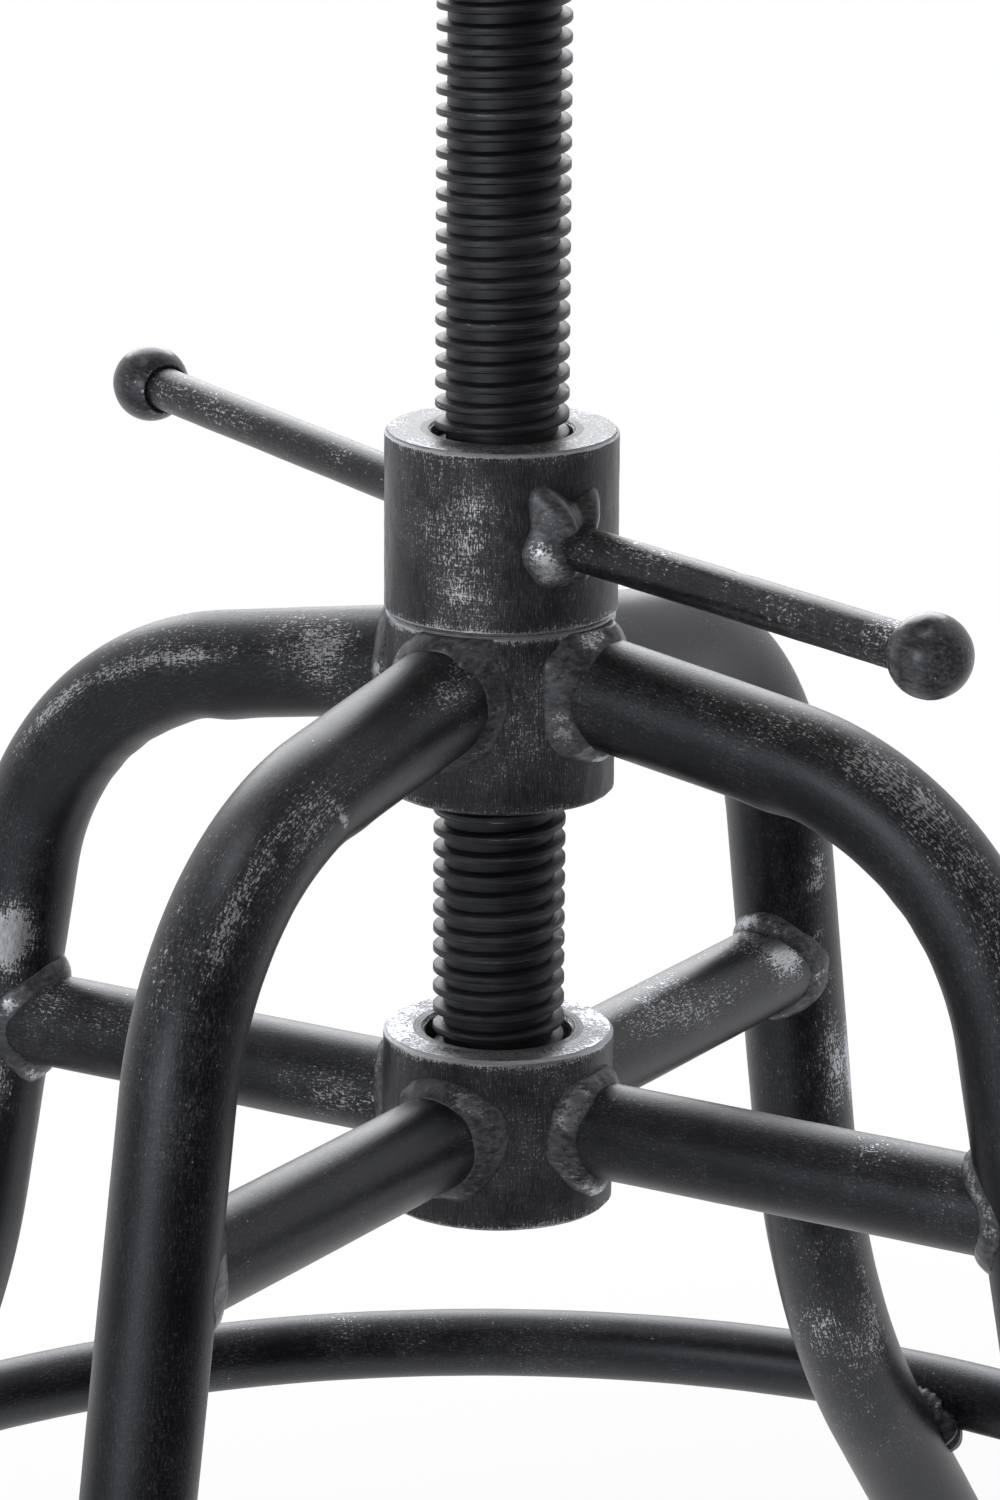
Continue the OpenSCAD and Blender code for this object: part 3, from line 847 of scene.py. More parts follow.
@dataclass(frozen=True)
class OiledWood(Finish):
    """Boards glued side by side, sanded and oiled.

    Attributes:
        early: Colour of the early wood.
        late: Colour of the late wood.
        glue: Colour of the glue lines.
    """
    early: Colour = (0.37, 0.205, 0.098)
    late: Colour = (0.205, 0.098, 0.042)
    glue: Colour = (0.10, 0.05, 0.025)

    def wire(self, w: Wiring, shader: Node) -> None:
        """Join the grain to the shader.

        Args:
            w: The material's wiring.
            shader: Its shader.
        """
        grain, place = w.group(timber()), w.place()
        ring, pore, joint = grain["Ring"], grain["Pore"], grain["Joint"]
        tone = grain["Board"] * 0.42 + 0.78
        streaky = w.step(w.noise(place * (5.0, 60.0, 60.0), 1.0, 3.0, 0.6), 0.4, 0.75)
        # The wood is made darker by the seat's "wear" values: not on the top, more on the rounded edge, most
        # on the undercut.
        darker_toward_underside = w.math("MULTIPLY", w.attribute("wear"), 0.45, clamp=True)
        wood = w.tint(ring * 0.62, self.early, self.late)
        wood = w.tint(pore * 0.42, wood, shade(self.late, 0.45))
        wood = w.tint(1.0, wood, w.together(tone, tone, tone), "MULTIPLY")
        wood = w.tint(streaky * 0.35, wood, shade(self.late, 0.75))
        wood = w.tint(darker_toward_underside, wood, shade(self.late, 0.55))
        height = pore * -0.7 + ring * 0.25 + joint * -0.8
        shader.feed(Base_Color=w.tint(joint * 0.7, wood, self.glue),
                    Roughness=w.noise(place, 40.0) * 0.12 + (pore * 0.14 + self.roughness),
                    Normal=self.embossed(w, height, 0.7))


TUBE_PAINT = RubbedSteel("rubbed_black_paint", roughness=0.38, streak=(0.4, 2.2), wear=0.02, relief=0.12)
ROD_PAINT = RubbedSteel("speckled_black_paint", roughness=0.34, level=0.3, speck=0.65, wear=0.14, seed=2.0,
                        relief=0.12)
HUB_STEEL = RubbedSteel("brushed_hub_steel", roughness=0.33, level=0.3, streak=(0.24, 3.2), speck=0.42,
                        wear=0.12, seed=4.0, relief=0.20, paint=(0.025, 0.0253, 0.028),
                        steel=(0.61, 0.615, 0.64))
BALL_STEEL = RubbedSteel("satin_ball_steel", roughness=0.30, streak=(0.9, 3.0), speck=0.8, wear=0.14,
                         seed=6.0, paint=(0.036, 0.036, 0.040), relief=0.06)
WELD_STEEL = RubbedSteel("ground_weld_steel", roughness=0.30, polish=0.38, streak=(1.1, 2.2), wear=-0.02,
                         seed=8.0, relief=0.08, paint=(0.055, 0.0555, 0.061))
SPINDLE_STEEL = RubbedSteel("blackened_spindle_steel", roughness=0.46, paint=(0.013, 0.0132, 0.015),
                            along=Along.TURNED, streak=(0.3, 3.0), speck=0.8, cover=0.62, seed=10.0, dust=0.0)
ZINC = PlainStuff("zinc_plating", roughness=0.34, colour=(0.60, 0.60, 0.62), metal=1.0, grain=0.6, mottle=0.2)
NYLON = PlainStuff("natural_nylon", colour=(0.68, 0.66, 0.60), grain=0.8, mottle=0.08)
RUBBER = PlainStuff("black_rubber", roughness=0.66, level=0.35, colour=(0.018, 0.018, 0.019), grain=0.45)
WOOD = OiledWood("oiled_hardwood", roughness=0.48, level=0.3, relief=0.12)


def finish_piece(piece: bpy.types.Object, finish: Finish, body: str, node: str) -> None:
    """Give a piece its finish and its place in the frame.

    Args:
        piece: The piece.
        finish: Its finish.
        body: The body that it moves with.
        node: The node that it stands for.
    """
    piece.data.materials.clear()
    piece.data.materials.append(finish.material())
    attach(piece, body)
    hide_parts(node)
    LOG.info("%s: %d faces, for %s", piece.name, len(piece.data.polygons), node)


def finish_node(name: str, finish: Finish) -> None:
    """Give a node of the frame that stays in view its finish.

    Args:
        name: The node's name.
        finish: Its finish.
    """
    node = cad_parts[name]
    node.data.materials.clear()
    node.data.materials.append(finish.material())
    LOG.info("%s: finish %s", name, finish.name)


def harvest(piece: bpy.types.Object) -> bpy.types.Object:
    """Turn a piece's Geometry Nodes into its plain mesh.

    Args:
        piece: The piece with its modifier.

    Returns:
        The same piece, without the modifier.
    """
    graph = bpy.context.evaluated_depsgraph_get()
    graph.update()
    mesh = bpy.data.meshes.new_from_object(piece.evaluated_get(graph), preserve_all_data_layers=True,
                                           depsgraph=graph)
    piece.modifiers.clear()
    old, piece.data = piece.data, mesh
    bpy.data.meshes.remove(old)
    mesh.name = piece.name
    return piece


@dataclass
class GeometryTool:
    """A Geometry Nodes tree with named inputs, used through a modifier.

    Attributes:
        name: The tree's name.
        inputs: Default values of its numbers, by name. It has a geometry and a material too.
    """
    name: str
    inputs: dict[str, float | int]
    tree: bpy.types.NodeTree = field(init=False)
    wiring: Wiring = field(init=False)
    given: Node = field(init=False)

    def __post_init__(self) -> None:
        """Make the tree with its inputs."""
        self.tree = bpy.data.node_groups.new(self.name, "GeometryNodeTree")
        new_socket = self.tree.interface.new_socket
        new_socket("Geometry", in_out="INPUT", socket_type="NodeSocketGeometry")
        for key, default in self.inputs.items():
            kind = "NodeSocketInt" if isinstance(default, int) else "NodeSocketFloat"
            new_socket(key, in_out="INPUT", socket_type=kind).default_value = default
        new_socket("Material", in_out="INPUT", socket_type="NodeSocketMaterial")
        new_socket("Geometry", in_out="OUTPUT", socket_type="NodeSocketGeometry")
        self.wiring = Wiring(self.tree)
        self.given = self.wiring.node("NodeGroupInput")

    def end(self, geometry: Value) -> "GeometryTool":
        """Finish the tree with Realize Instances and Set Material.

        Args:
            geometry: The geometry so far.

        Returns:
            The tool.
        """
        w = self.wiring
        real = w.node("GeometryNodeRealizeInstances", {"Geometry": geometry})[0]
        values = {"Geometry": real, "Material": self.given["Material"]}
        w.node("NodeGroupOutput").feed(Geometry=w.node("GeometryNodeSetMaterial", values)[0])
        return self

    def apply(self, piece: bpy.types.Object, **values: object) -> bpy.types.Object:
        """Run the tree on a piece and keep the result as its mesh.

        Args:
            piece: The piece.
            **values: Values for the inputs, with "_" for each space in their names.

        Returns:
            The same piece.
        """
        modifier = piece.modifiers.new(self.name, "NODES")
        modifier.node_group = self.tree
        for key, value in values.items():
            item = self.tree.interface.items_tree[key.replace("_", " ")]
            modifier[item.identifier] = value
        return harvest(piece)


@dataclass(frozen=True)
class LegLine:
    """The centreline of a leg in its own upright plane.

    Attributes:
        along: Distance from the hub's wall.
        centre: Distance from the spindle's axis, and height.
        slope: Slope in degrees, downwards.
    """
    along: np.ndarray
    centre: np.ndarray
    slope: np.ndarray


def sunk(centres: np.ndarray, count: int, spread: float, size: float, seed: int) -> np.ndarray:
    """Give a smooth field on a tube that says how far its skin has sunk, about 0 to 1.

    Args:
        centres: Points on the tube's centreline.
        count: Points round the tube.
        spread: How much the field changes round the tube.
        size: Distance over which it changes along the tube.
        seed: Number that fixes the field.

    Returns:
        A value by centre and angle.
    """
    return np.abs(wander(centres[:, None, :] + spread * circle(count)[:, None], size, seed))


@dataclass
class Base:
    """The welded base: hubs, legs, braces, foot ring and foot caps.

    Sizes are the CAD's. Below them come the tubes' flattening and wrinkles in their top bends.
    """
    hub_top: float = 415.0
    upper_hub: Vec = (27.5, 44.0, 16.5)
    lower_hub: Vec = (28.0, 43.0, 18.0)
    lower_hub_drop: float = 105.0
    rim_chamfer: float = 0.8
    leg_r: float = 13.45
    first_azimuth: float = 45.0
    entry_drop: float = 16.8
    slopes: Vec = (9.3, 79.3, 50.2)
    hidden_run: float = 5.5
    top_run: float = 52.0
    upright_run: float = 91.4
    bend_radii: tuple[float, float] = (74.0, 218.0)
    brace_r: float = 11.75
    brace_drop: float = 126.3
    brace_start: float = 23.5
    ring_tube_r: float = 9.5
    ring_drop: float = 275.4
    ring_gap: float = 0.3
    cap_wall: float = 2.55
    cap_length: float = 34.0
    sole: float = 5.0
    bend_middle: float = 97.0
    bend_spread: float = 48.0
    flattening: float = 0.22
    wrinkle: float = 0.30
    kink: float = 0.55
    leg_patches: dict[int, tuple[Patch, ...]] = field(default_factory=lambda: {
        1: rubbed((156, 258, 7, 22, 0.5), (176, 248, 7, 12, 0.4), (210, 256, 24, 22, 0.62),
                  (300, 205, 50, 75, 0.38), (97, 300, 30, 40, 0.2), (148, 262, 0.8, 16, 0.8),
                  (151.5, 258, 0.7, 20, 0.8), (159, 250, 1.2, 14, 0.7), (214, 288, 16, 9, 0.8),
                  (290, 258, 16, 14, 0.4)),
        2: rubbed((17, 66, 12, 40, 0.66), (60, 70, 26, 10, 0.5), (159, 118, 9, 26, 1.2),
                  (200, 132, 14, 24, 0.45), (92, 60, 20, 9, 0.5), (60, 40, 40, 30, 0.2)),
        3: rubbed((13, 50, 16, 20, 0.34), (70, 66, 30, 34, 0.28), (63.9, 93, 0.8, 14, 0.9),
                  (81, 69, 14, 8, 0.2), (50, 74, 16, 7, 0.2), (120, 20, 40, 60, 0.14),
                  # Leg 3's patches at 92 and 104 mm rub a narrow band along the bend: partly wear, partly a
                  # painted highlight for a soft lit band there.
                  (92, 44, 24, 9, 0.26), (104, 34, 16, 7, 0.3)),
        4: rubbed((60, 318, 34, 36, 0.32), (82, 340, 20, 40, 0.32), (130, 330, 30, 50, 0.28),
                  (100, 332, 34, 34, 0.14))})
    brace_patches: dict[int, tuple[Patch, ...]] = field(default_factory=lambda: {
        1: rubbed((127, 318, 8, 46, 0.8), (60, 330, 24, 50, 0.42), (95, 20, 34, 50, 0.34),
                  (76, 300, 44, 24, 0.3)),
        2: rubbed((110, 50, 14, 40, 0.4), (40, 90, 14, 40, 0.5)),
        3: (),
        4: rubbed((110, 340, 20, 40, 0.36))})

    def axes(self, leg: int) -> tuple[np.ndarray, np.ndarray]:
        """Give a leg's outward and sideways directions.

        Args:
            leg: Number of the leg, from 1.

        Returns:
            Two level directions.
        """
        azimuth = math.radians(self.first_azimuth + 90 * (leg - 1))
        return level(azimuth), level(azimuth + math.pi / 2)

    @cached_property
    def line(self) -> LegLine:
        """Follow a leg from inside the hub's wall to its foot.

        Returns:
            The leg's centreline.
        """
        top, upright, foot = self.slopes
        shoulder, flare = (math.radians(upright - other) * radius
                           for other, radius in zip((top, foot), self.bend_radii))
        runs = [(self.hidden_run, top, top), (self.top_run, top, top), (shoulder, top, upright),
                (self.upright_run, upright, upright), (flare, upright, foot), (None, foot, foot)]
        start = math.radians(top)
        point = np.array([self.upper_hub[0] - self.hidden_run * math.cos(start),
                          self.hub_top - self.entry_drop + self.hidden_run * math.sin(start)])
        rows = [(-self.hidden_run, *point, top)]
        for length, first, last in runs:
            along, point = rows[-1][0], np.array(rows[-1][1:3])
            if length is None:
                length = (point[1] - self.sole) / math.sin(math.radians(last))
            a, turn_rate = math.radians(first), math.radians(last - first) / length
            pieces = max(2, math.ceil(length / 2.5))
            for s in length * np.arange(1, pieces + 1) / pieces:
                b = a + s * turn_rate
                if turn_rate:
                    move = np.array([math.sin(b) - math.sin(a), math.cos(b) - math.cos(a)]) / turn_rate
                else:
                    move = s * np.array([math.cos(a), -math.sin(a)])
                rows.append((along + s, *(point + move), math.degrees(b)))
        table = np.array(rows)
        return LegLine(table[:, 0], table[:, 1:3], table[:, 3])

    @property
    def brace_height(self) -> float:
        """Height of the braces' centrelines."""
        return self.hub_top - self.brace_drop

    @cached_property
    def brace_end(self) -> float:
        """Find where a brace meets its leg's centreline.

        Returns:
            The distance from the spindle's axis.
        """
        upright = self.slopes[1]
        reach, height = self.line.centre[np.flatnonzero(self.line.slope >= upright - 1e-6)[0]]
        return float(reach + (height - self.brace_height) / math.tan(math.radians(upright)))

    @property
    def ring_height(self) -> float:
        """Height of the foot ring's centreline."""
        return self.hub_top - self.ring_drop

    @cached_property
    def ring_radius(self) -> float:
        """Fit the foot ring against the legs' outer sides.

        Returns:
            The radius of its centreline.
        """
        reach, height = self.line.centre[-1]
        slope = math.radians(self.slopes[2])
        stand_off = self.leg_r + self.ring_tube_r + self.ring_gap
        return float(reach - (self.ring_height - height) / math.tan(slope) + stand_off / math.sin(slope))

    def build_leg(self, leg: int) -> None:
        """Build one bent leg with the slight flattening and wrinkles of its top bend.

        Args:
            leg: Number of the leg.
        """
        line, sides = self.line, 56
        out, side = self.axes(leg)
        slope = np.radians(line.slope)[:, None]
        centres = line.centre[:, :1] * out + line.centre[:, 1:] * UP
        normals = np.sin(slope) * out + np.cos(slope) * UP
        s, cosine = line.along[:, None], np.cos(circle(sides))
        bend = bell(s - self.bend_middle, self.bend_spread)
        inner = np.clip(-cosine, 0, 1) ** 3
        wrinkles = (0.5 + 0.5 * np.cos((s - 80 - 3 * leg) / 1.9)) * bell(s - 84 - 5 * leg, 16)
        kinks = bell(s - 51, 5.5) - 0.7 * bell(s - 62, 6)
        radius = (self.leg_r - self.flattening * bend * cosine ** 2 - self.wrinkle * inner * bend * wrinkles
                  + self.kink * inner * kinks - 0.06 * sunk(centres, sides, 20, 60.0, Seed.LEG + leg))
        patches = (*rubbed((92, 0, 46, 75, 0.12), (6, 0, 12, 200, 0.15)), *self.leg_patches[leg])
        piece = tube(f"leg_{leg}_tube", centres, normals, side, radius, line.along, patches, 700.0 * leg,
                     (self.sole, tilted(out, self.slopes[2])[0]))
        finish_piece(piece, TUBE_PAINT, "base", f"leg_{leg}")

    def build_foot_cap(self, leg: int) -> None:
        """Build the rubber cap on a leg's foot, with two grip grooves and a level sole.

        Args:
            leg: Number of the leg.
        """
        out, side = self.axes(leg)
        heading, normal = tilted(out, self.slopes[2])
        wall = self.cap_wall
        groove = ((0.0, wall), (0.6, wall - 0.4), (1.8, wall - 0.4), (2.4, wall))
        rows = [(0.0, 0.0), (0.0, 1.2), (0.5, 2.1), (1.4, wall)]
        rows += [(start + step, thick) for start in (6.0, 11.0) for step, thick in groove]
        along, thick = np.array([*rows, (22.0, wall), (self.cap_length, wall)]).T
        reach = self.line.centre[-1][0] + self.sole / math.tan(math.radians(self.slopes[2]))
        centres = reach * out + (along - self.cap_length)[:, None] * heading
        radius = np.repeat(self.leg_r + thick[:, None], 64, axis=1)
        piece = tube(f"foot_cap_{leg}_rubber", centres, normal, side, radius, along, cut=(0.0, heading))
        finish_piece(piece, RUBBER, "base", f"foot_cap_{leg}")

    def build_brace(self, leg: int) -> None:
        """Build one brace from the lower hub to a leg.

        Args:
            leg: Number of the leg.
        """
        out, side = self.axes(leg)
        along = np.linspace(self.brace_start, self.brace_end - 3, 40)
        centres = along[:, None] * out + self.brace_height * UP
        radius = self.brace_r - 0.05 * sunk(centres, 52, 15, 45.0, Seed.BRACE + leg)
        ends = rubbed((30, 0, 10, 200, 0.2), (self.brace_end - 18, 0, 9, 200, 0.2))
        patches = (*ends, *self.brace_patches[leg])
        piece = tube(f"brace_{leg}_tube", centres, UP, side, radius, along, patches, 300.0 * leg + 5000)
        finish_piece(piece, TUBE_PAINT, "base", f"brace_{leg}")

    def build_foot_ring(self) -> None:
        """Build the foot ring, with its butt joint behind a leg."""
        turned = np.linspace(0, 2 * math.pi, 361)
        outward = level(turned + math.radians(self.first_azimuth))
        centres = self.ring_radius * outward + self.ring_height * UP
        radius = self.ring_tube_r - 0.05 * sunk(centres, 44, 12, 50.0, Seed.FOOT_RING)
        quarter = self.ring_radius * math.pi / 2
        patches = rubbed(*((quarter * k, 0, 16, 200, 0.2) for k in range(5)),
                         *((quarter * (k + 0.5), 0, 90, 60, 0.25) for k in range(4)))
        piece = tube("foot_ring_tube", centres, UP, outward, radius, turned * self.ring_radius, patches)
        finish_piece(piece, TUBE_PAINT, "base", "foot_ring")

    def build_hub(self, name: str, top: float, size: Vec, patches: Sequence[Patch], seed: int) -> None:
        """Build one hub as a thick-walled sleeve with worn rims and a sanded top.

        Args:
            name: The hub's node.
            top: Height of its top face.
            size: Outer radius, height and bore radius.
            patches: Places where the paint is rubbed away.
            seed: Number that fixes its raggedness.
        """
        r, height, bore = size
        c, bottom = self.rim_chamfer, top - height
        rows = [(bore + c, bottom, 0.2), (r - c, bottom, 0.3), (r, bottom + c, 0.35), (r, bottom + 3, 0.0),
                (r, top - 3, 0.05), (r, top - c - 0.5, 0.5), (r, top - c, 1.1), (r - c, top, 0.6, True),
                (bore + c, top, 0.34, True), (bore, top - c, 0.6), (bore, bottom + c, 0.0)]
        piece = turn(f"{name}_sleeve", rows, 2.2, sides=160, ragged=0.16, seed=seed, patches=patches)
        finish_piece(piece, HUB_STEEL, "base", name)

    def build(self) -> None:
        """Build the whole base except its welds."""
        front = 256.1
        self.build_hub("upper_hub", self.hub_top, self.upper_hub,
                       rubbed((392, front + 4, 14, 22, 0.22), (409, front - 14, 8, 16, 0.4)), Seed.UPPER_HUB)
        self.build_hub("lower_hub", self.hub_top - self.lower_hub_drop, self.lower_hub,
                       rubbed((302, front, 9, 30, 0.18), (285, front - 12, 14, 14, 0.08)), Seed.LOWER_HUB)
        for leg in LEGS:
            self.build_leg(leg)
            self.build_foot_cap(leg)
            self.build_brace(leg)
        self.build_foot_ring()


@dataclass(frozen=True)
class Lobe:
    """A place where a weld bead is heaped up.

    Attributes:
        around: Its middle in degrees round the bar.
        width: How far it fades, in degrees.
        gain: How much larger the bead is there, in millimetres.
    """
    around: float
    width: float
    gain: float

    def heap(self, degrees: np.ndarray) -> np.ndarray:
        """Give how much larger the bead is at angles round the bar."""
        return self.gain * bell(turned_back(degrees - self.around), self.width / math.sqrt(1.4))


def bead_values(points: np.ndarray, crowns: Sequence[float]) -> dict[str, np.ndarray]:
    """Give the attributes that a bead's ripples follow.

    Args:
        points: The bead's points as section, place in the section, coordinate.
        crowns: 1 on the middle of the bead's face and 0 at its edges, along a section.

    Returns:
        The attributes "crown" and "turned". The second goes from 0 to 1 once round the bar.
    """
    turned = np.arange(len(points)) / len(points)
    return {"crown": np.broadcast_to(np.array(crowns), points.shape[:2]),
            "turned": np.broadcast_to(turned[:, None], points.shape[:2])}


@dataclass(frozen=True)
class Seam:
    """A seam where a round bar meets a round wall.

    Attributes:
        origin: A point on the bar's axis.
        axes: The bar's direction away from the wall, and those of the angles 0 and 90 round it.
        bar_r: Radius of the bar.
        wall_r: Radius of the wall.
        size: Size of the bead.
        lobes: Places where the bead is heaped up.
        seed: Number that fixes its unevenness.
        limits: Lowest and highest height of the bead.
        wall: A point on the wall's axis, and the axis's direction.
    """
    origin: np.ndarray
    axes: Axes
    bar_r: float
    wall_r: float
    size: float
    lobes: tuple[Lobe, ...]
    seed: int
    limits: tuple[float, float] = (-math.inf, math.inf)
    wall: tuple[np.ndarray, np.ndarray] = (np.zeros(3), UP)

    def from_wall(self, points: np.ndarray) -> np.ndarray:
        """Give vectors from the wall's axis to points, square to the axis."""
        centre, axis = self.wall
        return points - centre - ((points - centre) @ axis)[:, None] * axis

    def root(self, out: np.ndarray) -> np.ndarray:
        """Follow the line where the bar's skin meets the wall.

        Args:
            out: Directions round the bar.

        Returns:
            A point for each direction.
        """
        heading, axis = self.axes[0], self.wall[1]
        start = self.origin + self.bar_r * out
        across = self.from_wall(start)
        ahead = heading - (heading @ axis) * axis
        a, b = ahead @ ahead, across @ ahead
        c = (across * across).sum(-1) - self.wall_r ** 2
        reach = (-b + np.sqrt(np.maximum(b * b - a * c, 0))) / a
        return start + reach[:, None] * heading

    def add(self, skin: Skin, steps: int = 168) -> None:
        """Add the seam's bead: a fillet from the wall to the bar with a crowned face.

        Args:
            skin: Mesh that the bead is added to.
            steps: Sections round the bar.
        """
        heading, up, side = self.axes
        around = circle(steps)
        out = np.cos(around)[:, None] * up + np.sin(around)[:, None] * side
        root = self.root(out)

        def uneven(share: float, size: float, seed: int) -> np.ndarray:
            """Give a factor round 1 that changes along the root."""
            return 1 + share * wander(root, size, self.seed + seed)

        wall = unit(self.from_wall(root))
        away = unit(out - (out * wall).sum(-1)[:, None] * wall)
        heap = sum((lobe.heap(np.degrees(around)) for lobe in self.lobes), np.zeros(steps))
        size = self.size * uneven(0.18, 26.0, 0)
        foot_size = (size + heap) * uneven(0.16, 15.0, 100)
        size = size + 0.4 * heap
        foot = root + foot_size[:, None] * away
        foot = foot + (self.wall_r * unit(self.from_wall(foot)) - self.from_wall(foot))
        toe = root + (size * uneven(0.12, 17.0, 200))[:, None] * heading
        bulge = unit(wall + out)
        plump = 0.13 * (size + foot_size) * uneven(0.6, 12.0, 300)
        middle = (foot + toe) / 2 + plump[:, None] * bulge
        shares = np.linspace(0, 1, 11)
        face = [(1 - q) ** 2 * foot + 2 * q * (1 - q) * middle + q * q * toe for q in shares]
        points = np.stack([foot - 0.5 * unit(self.from_wall(foot)) + 0.1 * away, *face,
                           toe - 0.5 * out, root - bulge], 1)
        points[:, :, 2] = np.clip(points[:, :, 2], *self.limits)
        values = bead_values(points, [0.0, *np.sin(math.pi * shares), 0.0, 0.0])
        crown = values["crown"]
        high = wander(np.broadcast_to(root[:, None, :], points.shape), 16.0, self.seed + 400)
        wear = 0.02 + crown * (0.16 + 0.75 * np.clip(high - 0.05, 0, 1)) + 0.05 * bell(crown - 0.45, 0.3)
        skin.sheet(points, loop=True, flow=points + 50.0 * self.seed, wear=wear, **values)


@cache
def ripple_tool() -> GeometryTool:
    """Make the tool that lays the welder's ripples and lumps on beads.

    Returns:
        The tool. It reads the attributes "turned", once round the bar, and "crown", 1 on the bead's middle.
    """
    tool = GeometryTool("weld_ripples", {
        "Ripple Height": 0.00004, "Ripples": 40.0, "Lag": 2.5, "Lump Height": 0.0009, "Lump Size": 0.0085,
        "Seed": 1.0})
    w, given = tool.wiring, tool.given
    turned, crown = (w.node("GeometryNodeInputNamedAttribute", {"Name": name}, data_type="FLOAT")[0]
                     for name in ("turned", "crown"))
    wave = w.math("SINE", crown * given["Lag"] + turned * given["Ripples"] * (2 * math.pi))
    size, seed = 1.0 / given["Lump Size"], given["Seed"]
    place = w.node("GeometryNodeInputPosition")[0]
    lump = w.noise(place * w.together(size, size, size) + w.together(seed, seed, seed), 1.0, 3.0, 0.5) - 0.5
    height = (wave * given["Ripple Height"] + lump * given["Lump Height"]) * crown
    normal = w.node("GeometryNodeInputNormal")[0]
    offset = w.node("ShaderNodeVectorMath", {0: normal, "Scale": height}, operation="SCALE")[0]
    return tool.end(w.node("GeometryNodeSetPosition", {"Geometry": given["Geometry"], "Offset": offset})[0])


def finish_beads(skin: Skin, body: str, node: str, **ripples: float) -> None:
    """Lay the welder's ripples on beads and finish them.

    Args:
        skin: The beads.
        body: The body that they move with.
        node: The node that they stand for.
        **ripples: Values for the ripples' tool.
    """
    piece = ripple_tool().apply(skin.build(60), **ripples, Material=WELD_STEEL.material())
    finish_piece(piece, WELD_STEEL, body, node)


def lay_seams(name: str, seams: Sequence[Seam], body: str, node: str, ripples: float) -> None:
    """Build the beads of some seams as one piece.

    Args:
        name: The piece's name.
        seams: The seams.
        body: The body that the piece moves with.
        node: The node that it stands for.
        ripples: Ripples once round a bar.
    """
    skin = Skin(name)
    for seam in seams:
        seam.add(skin)
    finish_beads(skin, body, node, Ripples=ripples, Seed=float(len(name)))


